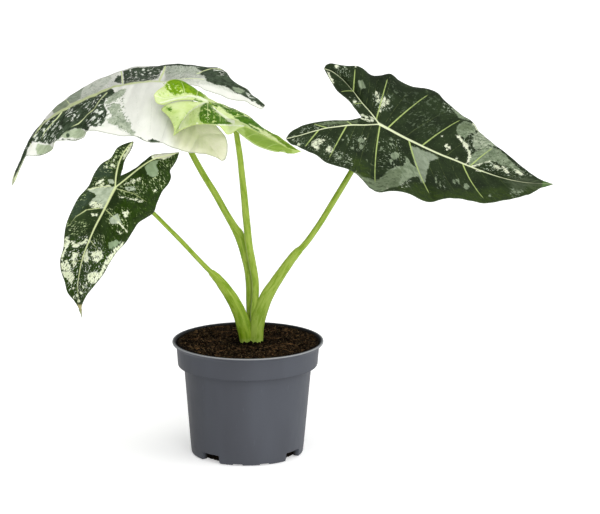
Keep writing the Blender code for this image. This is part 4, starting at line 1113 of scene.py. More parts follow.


# ------------------------------------------------------------- the patterns
# Patches, strokes and flecks of the variegation, given one by one.  Each blade has its own list, painted in order over
# its ground colour.
def pattern_right():
    silver, silver_2 = (102, 117, 90), (138, 151, 124)
    pale, pale_2 = (194, 203, 172), (226, 230, 204)
    return [
        layer("solid", (38, 54, 22), (52, 70, 18), [
            area((398, 188), (420, 184), (440, 192), (470, 192), (500, 188), (522, 190), (545, 182),
                 (546, 190), (528, 196), (505, 202), (484, 206), (455, 201), (432, 205), (404, 196)),
            area((350, 158), (357, 159), (366, 167), (371, 178), (368, 184), (360, 180), (351, 170)),
        ], soft=4.0, wobble=5.0, grain=(0.25, 0.2), strength=0.85),
        layer("fleck", (84, 100, 68), (116, 132, 96), [everywhere(6.0)],
              soft=0.5, cover=0.64, grain=(1.7, 1.2), strength=0.6),
        layer("fleck", (150, 166, 142), (206, 216, 190), [
            area((337, 120), (360, 119), (360, 121), (345, 124), (300, 134), (300, 128), (318, 122)),
            area((335, 62), (347, 66), (352, 76), (340, 76), (334, 68)),
            area((372, 92), (392, 96), (393, 110), (376, 114), (373, 103)),
            area((348, 97), (362, 100), (360, 108), (350, 106)),
            area((332, 150), (352, 155), (354, 170), (336, 164)),
            line((436.6, 174.0), (438.0, 188.0), half=1.5), line((443.6, 178.0), (444.6, 189.0), half=1.2),
            area((462, 134), (479, 132), (484, 146), (470, 158), (463, 150)),
            area((476, 160), (500, 160), (528, 174), (520, 180), (492, 172), (476, 170)),
            area((510, 188), (524, 190), (520, 197), (509, 198)),
            area((446, 98), (456, 104), (458, 114), (448, 116), (441, 106)),
            area((400, 176), (412, 178), (410, 190), (398, 190)),
            area((288, 136), (300, 134), (306, 146), (296, 146)),
            area((472, 122), (486, 132), (500, 150), (484, 148), (470, 138)),
            area((500, 158), (524, 168), (536, 178), (516, 176), (500, 170)),
        ], soft=1.2, cover=0.576, grain=(1.8, 1.3)),
        layer("fleck", (118, 134, 108), (158, 171, 144), [
            area((345, 134), (368, 134), (368, 152), (348, 152)),
            area((378, 140), (400, 138), (405, 160), (388, 172), (378, 168)),
            area((333, 62), (346, 65), (352, 78), (344, 84), (334, 76)),
            area((301, 137), (327, 134), (340, 150), (350, 165), (330, 163), (312, 152), (299, 146)),
        ], soft=1.2, cover=0.588, grain=(1.6, 1.1)),
        layer("fleck", (76, 90, 68), (98, 111, 88), [
            area((384, 80), (398, 82), (412, 90), (432, 94), (446, 106), (456, 118), (440, 118), (420, 108),
                 (400, 104), (386, 96)),
            area((398, 106), (430, 112), (448, 130), (430, 140), (404, 128)),
        ], soft=3.0, cover=0.55, grain=(1.0, 0.5), strength=0.55),
        layer("solid", silver, silver_2, [
            area((358.2, 81.3), (361.0, 80.6), (363.6, 83.0), (365.4, 88.4), (361.8, 89.6), (358.6, 84.8)),
            dots((360.9, 140.7, 2.9), (361.0, 147.3, 2.2), (352.0, 149.0, 1.4), (342.4, 140.2, 1.0),
                 (348.0, 140.0, 1.0), (394.4, 156.8, 3.6), (391.0, 161.6, 1.6), (391.3, 140.2, 1.3),
                 (381.2, 149.0, 1.5), (389.8, 144.9, 1.1), (466.3, 187.5, 2.8), (489.6, 197.3, 1.3),
                 (514.5, 192.6, 1.5), (518.5, 193.2, 1.6), (522.0, 192.4, 1.2), (405.5, 87.4, 1.1),
                 (399.3, 81.0, 0.9), (366.5, 161.2, 1.2), (453.0, 182.0, 1.2), (456.8, 181.0, 1.3),
                 (338.2, 158.4, 1.3), (346.0, 163.4, 1.3), (340.5, 158.0, 1.1)),
            line((435.6, 178.0), (436.4, 183.0), half=0.6), line((439.6, 183.0), (440.6, 187.5), half=0.6),
            line((453.2, 181.0), (454.2, 184.6), half=0.8), line((457.8, 180.0), (458.4, 184.6), half=0.6),
            area((451.5, 106.8), (456, 111), (463, 115.4), (469.5, 120.5), (464, 121.4), (458, 118), (455, 114)),
            area((354.8, 172.4), (358.6, 174.6), (362.8, 177.0), (366.4, 178.8), (371.0, 178.6),
                 (374.6, 181.4), (377.4, 182.0), (381.0, 179.4), (384.4, 176.8), (387.2, 172.6),
                 (390.8, 169.9), (397.4, 167.1), (403.0, 167.1), (405.3, 163.3), (404.3, 158.0),
                 (408.7, 161.2), (410.6, 165.8), (417.2, 168.9), (415.4, 161.0), (411.0, 152.0),
                 (409.6, 145.4), (416, 147.6), (427, 152.8), (440.6, 158.6), (434.0, 159.6),
                 (429.4, 161.4), (429.0, 165.0), (428.0, 170.0), (426.4, 176.0), (425.0, 183.8),
                 (420.6, 182.6), (417.4, 177.4), (411.0, 178.0), (405.4, 181.8), (400.2, 187.0),
                 (394.0, 187.8), (389.6, 187.7), (385.0, 190.0), (379.3, 192.6), (370, 188.4),
                 (362.5, 180.0)),
            area((455.5, 131.0), (458.6, 125.4), (464.6, 122.4), (470.7, 123.4), (475.0, 128.6),
                 (474.0, 132.8), (470.7, 133.9), (467.3, 135.9), (464.6, 139.3), (460.9, 137.5),
                 (457.2, 135.4)),
            area((469.8, 157.1), (474.3, 152.9), (479.6, 150.2), (485, 147.0), (492.4, 146.6),
                 (499.6, 150.9), (506.6, 157.3), (513.8, 164.5), (521.0, 171.0), (514.4, 171.2),
                 (508.2, 167.9), (501, 164.5), (495.0, 162.2), (489.4, 162.4), (482.2, 163.4),
                 (474.3, 164.6), (468.7, 166.4)),
        ], soft=0.5, wobble=2.2, grain=(1.7, 1.2)),
        layer("solid", pale, pale_2, [
            area((380.3, 99.6), (384.1, 98.4), (387.6, 99.6), (389.0, 102.4), (388.2, 105.4),
                 (385.2, 105.6), (382.6, 107.8), (380.0, 107.6), (381.4, 103.6)),
            dots((376.4, 93.6, 1.4), (378.0, 97.4, 1.3), (378.2, 101.0, 1.1), (380.2, 111.2, 1.2),
                 (336.4, 66.6, 1.1), (354.6, 102.2, 1.2), (446.2, 146.6, 1.7), (449.4, 148.8, 1.7),
                 (447.0, 150.4, 1.0), (456.3, 158.8, 1.2), (441.8, 137.0, 0.9), (298.6, 145.4, 1.1),
                 (364.6, 139.0, 0.9), (387.0, 187.9, 1.3), (355.4, 66.9, 0.8), (368.4, 154.0, 0.8)),
            area((311.3, 145.6), (315.6, 141.0), (322.0, 140.0), (322.6, 143.4), (318.6, 145.6),
                 (319.4, 149.6), (316.4, 151.4), (313.6, 148.4)),
            area((326.6, 147.4), (331.2, 146.6), (333.2, 150.6), (329.4, 153.6), (325.4, 152.2)),
            line((312.6, 142.4), (318, 139.8), (324, 140.6), half=0.8),
            line((360.2, 115.6), (366.8, 117.6), (374.0, 119.0), half=0.7),
            line((361.6, 118.6), (367.4, 120.0), (372.2, 121.2), half=0.6),
            area((327.2, 71.6), (329.4, 73.2), (331.6, 77.6), (333.6, 81.8), (333.2, 85.0), (331.0, 83.6),
                 (329.0, 79.6), (327.6, 75.6)),
            area((455.6, 136.0), (459.4, 136.6), (462.8, 140.4), (461.2, 142.4), (457.0, 139.2)),
            area((462.0, 141.0), (466.2, 144.0), (468.8, 149.4), (466.4, 150.0), (463.0, 145.4)),
            line((467.6, 150.4), (469.4, 155.0), (468.6, 160.6), (465.6, 164.0), half=(0.9, 1.3, 1.1, 0.7)),
            line((473.0, 124.2), (478.0, 129.4), (483.0, 134.4), (486.4, 138.4), half=(1.0, 1.7, 1.9, 0.8)),
            line((478.6, 139.6), (483.0, 143.6), half=1.0),
            line((472.6, 166.2), (480.0, 164.4), (490.0, 162.2), half=0.6),
            area((493.6, 165.2), (498.4, 165.8), (501.2, 169.6), (497.6, 170.4), (494.2, 168.2)),
            area((502.0, 165.6), (506.4, 168.6), (508.4, 173.2), (505.2, 172.6), (502.4, 169.6)),
            line((512.6, 168.6), (516.4, 171.0), (521.6, 174.6), half=(0.7, 1.3, 0.7)),
            line((476.4, 171.6), (484.0, 171.0), half=0.5), line((355.2, 173.6), (362.5, 180.4), half=0.6),
        ], soft=0.45, wobble=2.4, grain=(1.6, 1.2)),
        layer("solid", (126, 138, 116), (150, 161, 141), [
            area((411, 147), (426, 152), (440, 158), (430, 162), (427, 172), (425, 182), (418, 176), (414, 160)),
        ], soft=0.8, wobble=1.6, grain=(1.0, 0.8), strength=0.75),
        layer("solid", (130, 143, 118), (172, 182, 156), [
            area((473.6, 134.6), (479, 132.6), (486.5, 138.4), (495.5, 146.0), (488, 147.2), (481, 149.6),
                 (476.0, 151.4), (472.6, 146.4)),
        ], soft=0.7, wobble=3.2, grain=(1.3, 1.0)),
        layer("solid", (82, 96, 67), (106, 120, 90), [
            area((456.5, 130.4), (459.6, 126.4), (464.6, 123.4), (470.0, 124.4), (473.6, 128.6),
                 (472.0, 131.0), (466.0, 130.6), (461.0, 131.6)),
            area((356, 174), (364, 178.6), (373, 180.4), (382, 179), (389, 172), (402, 168), (399, 187),
                 (380, 191), (366, 185)),
            area((316, 124.5), (325, 121.8), (336, 121.6), (350, 121.0), (357, 120.5), (357, 123.0),
                 (345, 124.0), (330, 124.4), (322, 126.0)),
        ], soft=1.0, wobble=2.6, strength=0.8),
        # Painted sheen: a lighter grey-green wash near the tip.
        layer("solid", (88, 100, 74), (104, 116, 90), [
            area((506, 178), (524, 177), (540, 182), (551, 185.5), (532, 190), (512, 191)),
        ], soft=4.0, wobble=9.0, grain=(0.9, 0.6), strength=0.4),
        layer("solid", (78, 112, 56), (100, 132, 74), [
            area((543, 180), (548, 182), (556, 184), (548, 187.5), (542, 188)),
        ], soft=1.0, wobble=0.8, strength=0.8),
        layer("fleck", (50, 62, 40), (66, 78, 54), [
            area((354, 172), (376, 178), (392, 170), (404, 166), (400, 186), (380, 192), (364, 184)),
            area((455, 123), (472, 122), (476, 132), (464, 140), (456, 136)),
            area((311, 141), (325, 138), (334, 147), (333, 154), (316, 152)),
            area((378, 98), (390, 98), (390, 108), (379, 108)),
            area((384, 170), (400, 166), (404, 176), (392, 184), (380, 180)),
            area((470, 150), (486, 146), (500, 152), (512, 164), (500, 166), (480, 164), (470, 164)),
            area((445, 145), (451, 146), (451, 151), (445, 151)),
        ], soft=0.8, cover=0.575, grain=(1.7, 1.2), strength=0.8),
        layer("fleck", (44, 56, 34), (60, 72, 48), [
            area((306, 137), (330, 136), (336, 148), (333, 156), (312, 154)),
            area((378, 96), (392, 96), (392, 110), (378, 110)),
            area((490, 160), (512, 164), (524, 178), (506, 178), (490, 172)),
            area((472, 134), (486, 136), (494, 148), (478, 152)),
            area((298, 136), (312, 133), (322, 142), (312, 150), (300, 146)),
        ], soft=0.8, cover=0.545, grain=(1.5, 1.1), strength=0.85),
    ]


def pattern_hanging():
    return [
        layer("solid", (26, 44, 2), (38, 62, 0), [
            area((122, 186), (140, 172), (160, 160), (180, 150), (172, 178), (160, 205), (140, 226),
                 (120, 250), (100, 282), (84, 300), (96, 256), (110, 222), (122, 200)),
            area((62, 240), (80, 236), (84, 256), (78, 300), (66, 292), (60, 262)),
            area((104, 160), (124, 146), (126, 156), (118, 172), (106, 172)),
        ], soft=4.0, wobble=6.0, grain=(0.25, 0.2)),
        layer("solid", (60, 78, 60), (44, 62, 44), [
            area((96, 165), (110, 163), (113, 176), (98, 178), (92, 176)),
            area((76, 200), (90, 190), (93, 197), (86, 206), (80, 214), (72, 222), (70, 214)),
        ], soft=2.5, wobble=3.0, grain=(0.4, 0.3), strength=0.65),
        layer("fleck", (104, 124, 66), (140, 158, 102), [everywhere(6.0)],
              soft=0.5, cover=0.625, grain=(1.7, 0.9), strength=0.6),
        layer("fleck", (144, 165, 110), (190, 204, 154), [
            area((118, 182), (142, 176), (149, 186), (144, 197), (130, 200), (118, 196)),
            area((150, 174), (164, 170), (166, 186), (154, 194), (148, 184)),
            area((102, 160), (118, 155), (118, 170), (106, 172)),
            area((92, 178), (106, 177), (108, 186), (92, 187)),
            area((106, 208), (130, 208), (130, 228), (120, 236), (106, 222)),
            area((93, 235), (106, 233), (106, 243), (94, 243)),
            area((66, 222), (86, 220), (88, 236), (68, 236)),
            area((160, 158), (176, 156), (172, 168), (160, 168)),
            area((76, 190), (88, 188), (86, 200), (76, 202)),
            area((100, 150), (126, 146), (124, 160), (112, 174), (100, 172)),
        ], soft=1.2, cover=0.565, grain=(1.8, 0.8)),
        layer("fleck", (206, 216, 196), (232, 236, 222), [
            area((62, 236), (90, 236), (104, 246), (122, 240), (116, 256), (104, 272), (92, 288),
                 (80, 302), (70, 294), (62, 276), (60, 258)),
        ], soft=1.2, cover=0.588, grain=(1.5, 1.1)),
        layer("solid", (152, 165, 140), (184, 195, 170), [
            area((87.6, 189.7), (98.5, 187.6), (114.4, 186.8), (112.4, 193.4), (108.2, 200.5),
                 (103.6, 208.0), (96.4, 208.6), (90.4, 206.8), (88.8, 203.2), (92.2, 199.6),
                 (96.2, 197.0), (95.8, 194.4), (92.4, 192.2)),
            area((108.2, 179.6), (113, 179.0), (114.4, 183.4), (109.6, 184.2)),
            area((125.4, 187.8), (134.8, 186.4), (136.6, 190.4), (129.0, 191.6)),
            area((109.6, 219.8), (114.0, 216.0), (118.2, 213.6), (120.5, 219.4), (121.7, 223.5),
                 (113.2, 224.3), (110.6, 222.4)),
        ], soft=0.5, wobble=1.6, grain=(1.5, 1.0)),
        layer("solid", (128, 148, 112), (142, 162, 128), [
            area((144.6, 166.7), (153, 160.4), (160.0, 160.3), (156.0, 165.4), (158.3, 170.2),
                 (158.2, 175.8), (152.2, 177.6), (147.2, 174.2), (145.6, 170.4)),
            area((108.6, 243.2), (115.5, 240.3), (120.6, 242.6), (113.6, 248.9), (109.6, 248.9)),
        ], soft=0.5, wobble=1.8, grain=(1.4, 0.9)),
        layer("solid", (208, 216, 178), (226, 232, 206), [
            area((88.6, 204.6), (92.2, 201.0), (98.0, 203.4), (103.6, 204.2), (102.0, 207.9),
                 (96.4, 209.2), (91.0, 207.2)),
            line((96.1, 183.6), (103.4, 179.6), half=0.8), line((98.6, 186.0), (104.0, 183.4), half=0.5),
            line((110.0, 186.2), (99.0, 187.0), (88.0, 189.3), half=0.6),
            area((122.9, 158.8), (125.2, 153.4), (128.8, 146.1), (132.4, 142.0), (131.4, 148.3),
                 (128.4, 154.6), (124.3, 159.4)),
            area((151.8, 155.6), (159.1, 154.0), (168.8, 153.2), (176.4, 152.6), (170.0, 157.6),
                 (162.5, 159.5), (153.4, 158.9)),
            line((120.6, 197.2), (127.6, 198.3), (135.0, 199.4), (141.4, 201.4), half=(0.8, 0.6, 0.3, 0.8)),
            line((124.8, 184.6), (131.0, 182.2), (139.0, 179.6), half=0.7),
            dots((124.6, 213.0, 1.5), (127.6, 212.4, 1.3), (126.0, 216.0, 1.2), (112.0, 165.0, 1.1),
                 (106.4, 166.6, 1.2), (113.6, 161.0, 1.0), (114.6, 167.0, 1.0), (93.0, 215.4, 1.0),
                 (96.6, 215.6, 1.0), (134.0, 182.6, 0.9), (154.6, 190.8, 1.1), (158.4, 189.6, 0.9)),
            line((118.6, 222.6), (122.4, 225.6), (126.6, 231.6), half=0.7),
            line((117.0, 229.6), (121.0, 233.6), half=0.7),
            area((64.3, 236.8), (69.2, 238), (69.9, 242.9), (68.6, 247.3), (64.9, 250.0), (63.4, 246)),
            area((71.0, 241.0), (77.6, 243.4), (87.6, 238.8), (89.0, 242.4), (81.8, 244.8),
                 (78.2, 247.6), (74.0, 248.3), (72.0, 244.8)),
            area((92.2, 252.4), (96.8, 250.4), (102.3, 251.2), (103.0, 257.4), (97.3, 262.5),
                 (92.4, 261.3), (90.8, 256.2)),
            area((82.7, 256.2), (87.6, 251.0), (89.2, 261.1), (85.4, 262.7), (82.5, 260.2)),
            area((73, 252.3), (79.1, 253.4), (76.1, 260.5), (77.0, 265.9), (73.2, 267.5), (71.6, 259.8)),
            area((60.7, 264.1), (64.5, 261.3), (68.4, 262.3), (70.9, 266.8), (69.4, 271.0),
                 (64.5, 271.0), (60.9, 267.7)),
            line((61.8, 259.6), (62.4, 254.4), (65.6, 250.6), half=(0.8, 1.1, 0.8)),
            area((62.3, 272), (71.8, 270.6), (74.6, 277.6), (72.4, 284.6), (68.4, 281.4), (64.1, 276.0)),
            area((87.4, 274.6), (92.0, 272.0), (98.5, 273.0), (103.0, 273.4), (95.4, 283.3),
                 (90.4, 283.3), (87.2, 279.2)),
            area((108.0, 257.4), (116.5, 247.7), (124.0, 242.6), (122.5, 246.5), (114.6, 256.4),
                 (108.6, 264.9), (103.7, 271.4), (98.7, 275.0), (104.2, 263.5)),
            dots((77.4, 295.8, 1.3), (74.4, 297.6, 1.1), (81.6, 293.0, 1.1), (79.0, 300.6, 1.0),
                 (84.0, 287.0, 1.1), (73.4, 288.6, 1.0), (86.4, 283.6, 1.0)),
        ], soft=0.4, wobble=3.0, grain=(1.5, 1.1), mottle=(0.8, 0.6)),
        layer("solid", (186, 184, 168), (206, 203, 190), [
            area((153.4, 156.0), (160, 154.4), (168.8, 153.6), (175.6, 153.0), (169, 157.2), (161.5, 159.0),
                 (154.6, 158.5)),
            area((124.6, 157.6), (128.6, 150.6), (131.6, 144.4), (130.4, 149.6), (127.4, 155.4)),
        ], soft=0.8, wobble=1.0, strength=0.8),
        layer("fleck", (40, 56, 30), (58, 74, 46), [
            area((62, 238), (90, 238), (104, 250), (122, 242), (112, 262), (90, 288), (76, 288), (62, 274)),
            area((88, 200), (104, 200), (104, 209), (90, 209)),
            area((120, 178), (142, 178), (144, 204), (118, 202)),
        ], soft=0.8, cover=0.556, grain=(1.3, 1.0)),
        layer("solid", (196, 206, 152), (176, 190, 120), [
            line((111.0, 186.4), (99.6, 187.0), (88.4, 189.2), half=0.35),
            line((99.7, 208.3), (86.4, 210.2), (76.0, 216.6), (69.6, 225.0), half=(0.5, 0.45, 0.3, 0.1)),
            line((116.6, 188.9), (125.4, 191.4), (133.4, 193.6), (147, 202.2), half=(0.5, 0.4, 0.35, 0.1)),
            line((105.6, 209.6), (115.5, 218.6), (124, 226.0), half=(0.5, 0.4, 0.1)),
            line((91.0, 241.0), (98.5, 250.2), half=(0.45, 0.2)),
            line((80.6, 261.0), (70.0, 262.0), half=(0.35, 0.1)),
        ], soft=0.3, wobble=0.2),
        layer("solid", (150, 140, 96), (196, 190, 140), [
            area((76, 305), (88, 305), (88, 322), (78, 322)),
        ], soft=1.5, wobble=1.0),
    ]


def pattern_large():
    """The ground is white; side 0 is the near half, side 1 the far half."""
    dark, dark_2 = (34, 47, 27), (70, 85, 64)
    vein = (226, 236, 184)
    return [
        # Painted light: a pale cream-green wash over the near lobe stands in for green light coming through the young
        # leaf in front of it, kept light to offset that leaf's shade.
        layer("solid", (236, 235, 208), (230, 231, 198), [
            area((178, 100), (205, 120), (215, 110), (235, 130), (232, 168), (215, 168), (196, 160),
                 (176, 150), (172, 130), on=0),
        ], soft=9.0, wobble=0.0),
        layer("solid", (186, 192, 178), (212, 216, 202), [
            area((166, 66), (202, 66), (236, 82), (250, 92), (236, 94), (200, 84), (166, 84), on=1),
        ], soft=2.0, wobble=2.5, grain=(0.5, 0.3)),
        layer("solid", (156, 166, 150), (194, 202, 184), [
            area((164.6, 69), (172, 65.2), (190, 65.6), (202, 67.6), (200, 72), (198, 75.4),
                 (184, 74.4), (172, 76.0), (165.0, 74.6), on=1),
        ], soft=0.9, wobble=2.2, grain=(0.7, 0.35), strength=0.75),
        layer("solid", (186, 194, 178), (210, 216, 200), [
            area((82.6, 104.6), (79.6, 99.1), (82.4, 92.1), (84.2, 87.7), (92, 83), (108, 76.4),
                 (112, 76), (109.6, 82.4), (104, 88), (96, 94), (88, 98), on=1),
        ], soft=0.9, wobble=2.2, grain=(0.7, 0.35), strength=0.75),
        layer("solid", (136, 148, 128), (164, 175, 154), [
            area((66.4, 100.8), (70.2, 95.6), (77.2, 91.0), (84.6, 87.0), (82.6, 92.1), (80.4, 99.1),
                 (75.6, 102.9), (70.6, 104.6), on=1),
            area((230.0, 86.8), (240.3, 89.5), (246.0, 92.7), (236.8, 93.4), on=1),
        ], soft=0.6, wobble=0.9, grain=(0.6, 0.4)),
        layer("solid", (132, 146, 120), (156, 168, 138), [
            area((52.4, 110.7), (56.1, 106.1), (61.4, 102.4), (66.0, 100.4), (70.4, 104.6),
                 (66.6, 108.1), (60.5, 111.6), (54.4, 114.4), on=1),
            area((26, 146), (22, 155), (16.6, 168), (12.6, 180), (10, 178), (18, 162), (24, 148), on=1),
        ], soft=0.7, wobble=0.9, grain=(0.6, 0.4)),
        layer("solid", (146, 158, 136), (184, 194, 170), [
            area((104.6, 103.6), (109.0, 98.0), (112.2, 94.4), (121, 89.8), (126.8, 89.0), (125.4, 93.8),
                 (119.3, 98.6), (114, 102.8), (108.7, 105.0), on=0),
            area((107.6, 110.6), (113.6, 103.4), (119.3, 104.2), (121.6, 109.6), (115.7, 115.2),
                 (111.4, 114.4), on=0),
            area((106.0, 120.6), (114, 114.9), (121, 111.2), (123.8, 116.6), (125.8, 120.4),
                 (130.2, 123.9), (131.1, 128.9), (135.0, 132.2), (133.6, 136.8), (129.4, 134.3),
                 (126.1, 131.1), (121, 129.2), (115.7, 126.0), (109.6, 124.3), on=0),
        ], soft=0.7, wobble=3.4, grain=(1.5, 0.8)),
        layer("fleck", (118, 132, 106), (150, 163, 140), [
            area((104, 104), (112, 94), (124, 92), (126, 112), (132, 124), (137, 134), (130, 136),
                 (116, 128), (104, 122), on=0),
            area((164, 66), (202, 66), (202, 76), (184, 82), (166, 80), on=1),
        ], soft=1.0, cover=0.555, grain=(1.5, 0.8)),
        layer("fleck", (144, 157, 134), (172, 183, 162), [
            area((66, 96), (84, 88), (108, 76), (120, 72), (112, 90), (86, 102), (68, 106), on=1),
        ], soft=1.0, cover=0.562, grain=(1.3, 0.6), strength=0.8),
        layer("solid", dark, dark_2, [
            area((113.4, 90.6), (114.9, 93.4), (108.9, 97.6), (105.4, 100.9), (103.9, 106.1),
                 (107, 111.2), (106.3, 116.4), (104.3, 121.9), (102.1, 127.2), (95.6, 126.9),
                 (91.2, 126.0), (87.7, 130.9), (82.4, 129.9), (75.4, 128.9), (69.4, 131.4),
                 (63.9, 134.2), (59.0, 138.9), (53.2, 143.0), (50.9, 144.3), (45.9, 144.2),
                 (40.3, 142.6), (35.1, 142.8), (33.3, 141.6), (29.0, 147.2), (25.5, 150), (27, 138),
                 (40, 118), (60, 104), (84, 92), (104, 86), on=0),
            area((29, 147.4), (26.0, 156.0), (21.6, 165.4), (16.0, 176.4), (11, 188), (8, 184),
                 (17, 166), (24, 150), on=0),
            area((114.2, 82.6), (117.3, 77.2), (121.7, 75.2), (121.3, 84.4), (116.6, 83.9), on=1),
            area((123.6, 72.0), (129.8, 69.6), (138.5, 68.4), (150.8, 68.0), (156.3, 66.2),
                 (163.9, 65.0), (163.5, 69.1), (160.9, 73.0), (158.5, 78.9), (152.6, 81.1),
                 (143.8, 82.2), (133.3, 83.9), (124.1, 85.0), on=1),
            line((150.0, 66.4), (158, 66.4), (166.0, 65.6), (177, 64.9), (191, 65.8), (203, 67.6),
                 half=(1.3, 1.6, 1.6, 1.5, 1.4, 1.0), on=1),
            area((197.0, 69.8), (201.7, 67.4), (212.2, 66.4), (221, 67.6), (226.8, 72.4),
                 (230.5, 77.9), (236.5, 82.6), (243.5, 87.0), (250.5, 92.2), (254.5, 96.2),
                 (247.5, 93.4), (241.2, 90.6), (236.8, 88.1), (231.5, 86.2), (224.5, 86.2),
                 (214, 85.1), (206.9, 81.6), (203.4, 76.5), (199.5, 75.0), (201.3, 71.9), on=1),
            area((228, 76.4), (238, 83.4), (246, 89.4), (253, 94.6), (260, 100.2), (266, 105.4),
                 (264, 107.6), (258, 105.0), (252.5, 101.6), (247, 98.0), (242, 95.6), (236, 93.4),
                 (231, 89.8), (225, 86.8), on=1),
            area((147.6, 140.0), (152.6, 139.2), (157.4, 140.0), (160.2, 141.8), (158, 143.4),
                 (150, 143.2), on=0),
            line((84.4, 138.2), (80.2, 140.4), (75.4, 140.8), (68.0, 140.2), half=0.9, on=0),
            line((54.2, 147.6), (51.9, 151.4), (46.2, 154.0), (36, 156.4), (26, 156.8), half=0.7, on=0),
            dots((68.2, 136.2, 2.1), (63.0, 139.6, 1.0), on=0),
            line((137.4, 137.2), (144.4, 141.0), half=0.6, on=0),
            area((12, 178), (30, 136), (44, 119.4), (46, 121.4), (33, 138.6), (24, 156), (15, 180), on=1),
        ], soft=0.5, wobble=1.7, grain=(1.6, 1.0), mottle=(0.5, 0.3)),
        layer("solid", (172, 188, 150), (140, 160, 118), [
            area((60.6, 137.6), (63.1, 134.2), (68.4, 131.6), (75.4, 129.1), (82.0, 129.3),
                 (86.3, 132.0), (83.4, 137.0), (78.9, 139.3), (75.4, 139.0), (71.9, 137.7),
                 (64.9, 138.1), on=0),
            area((38.0, 143.6), (45.6, 145.6), (50.9, 144.7), (53.0, 148.2), (50.9, 151.2),
                 (43.8, 154.0), (37.1, 154.6), (36.0, 149.0), on=0),
        ], soft=0.8, wobble=1.4, grain=(0.6, 0.5), strength=0.85),
        layer("solid", (58, 74, 54), (76, 92, 70), [dots((68.2, 136.0, 1.9), (62.4, 139.4, 0.8), on=0)],
              soft=0.4, wobble=0.6),
        layer("solid", (126, 142, 114), (150, 164, 136), [
            area((232.0, 87.6), (239, 88.4), (244.6, 92.2), (240, 93.6), (234.6, 91.8), on=1),
        ], soft=0.8, wobble=1.0),
        layer("fleck", (206, 214, 196), (234, 237, 226), [
            area((125, 70), (160, 67), (160, 80), (140, 84), (126, 84), on=1),
        ], soft=0.8, cover=0.565, grain=(0.75, 0.55)),
        layer("fleck", (214, 222, 204), (236, 238, 228), [
            area((210, 68), (226, 68), (229, 78), (216, 76), on=1),
            area((242, 90), (254, 94), (268, 104), (264, 110), (250, 102), on=1),
        ], soft=0.8, cover=0.575, grain=(0.45, 1.3)),
        layer("fleck", (208, 218, 200), (232, 236, 224), [
            area((80, 99), (106, 94), (106, 108), (92, 114), (82, 108), on=0),
            area((92, 108), (108, 110), (106, 128), (88, 130), (86, 118), on=0),
            area((36, 126), (58, 116), (64, 132), (54, 145), (36, 146), (32, 136), on=0),
            area((64, 104), (80, 100), (80, 120), (66, 124), on=0),
        ], soft=1.0, cover=0.556, grain=(0.85, 0.5)),
        layer("solid", (222, 232, 178), (206, 219, 150), [
            line((162, 82), (150, 82), (135, 83.6), (122.5, 85.5), (113.8, 87.7), (97.6, 94.2),
                 (81.3, 101.8), (69.4, 107.2), (56, 115), (43, 124), (33, 138),
                 half=(0.3, 0.4, 0.5, 0.5, 0.8, 1.2, 1.3, 1.2, 0.8, 0.4, 0.2)),
        ], soft=0.5, wobble=0.5, grain=(0.5, 0.5)),
        layer("solid", vein, (208, 222, 160), [
            line((107.4, 93.6), (100.4, 100.6), (94.7, 109.6), (86.4, 116.6), (78.9, 123.9), (71.4, 128.0),
                 half=(0.55, 0.5, 0.5, 0.45, 0.4, 0.2), on=0),
            line((62.0, 113.0), (57.0, 119.6), (50.6, 125.6), (44.4, 132.6), (41.6, 140.6),
                 half=(0.5, 0.45, 0.4, 0.35, 0.1), on=0),
            line((30.4, 143.6), (33.0, 150), half=(0.4, 0.2), on=0),
            line((120.9, 70.2), (122.0, 76.0), (123.0, 86.0), half=(0.9, 0.7, 0.6), on=1),
            line((165.3, 67.4), (163.0, 74.0), (159.4, 81.0), half=(0.9, 0.9, 0.9), on=1),
            line((65.4, 99.6), (68.2, 102.6), (71.2, 106.6), half=0.5, on=1),
            line((196.8, 74.6), (203.0, 71.9), (211.0, 69.6), (221.6, 69.6), half=0.45, on=1),
        ], soft=0.3, wobble=0.25, grain=(0.5, 0.5)),
        layer("solid", (208, 212, 200), (196, 202, 186), [
            line((122.0, 113.6), (112.0, 118.6), (102.4, 123.8), half=(0.2, 0.4, 0.3), on=0),
            line((124.4, 89.0), (124.0, 94.6), half=0.4, on=0),
            line((136, 96), (139, 128), half=0.3, on=0), line((152, 94), (150, 134), half=0.3, on=0),
            line((172, 108), (163, 138), half=0.3, on=0), line((196, 140), (190, 152), half=0.3, on=0),
        ], soft=0.4, wobble=0.2, strength=0.6),
    ]


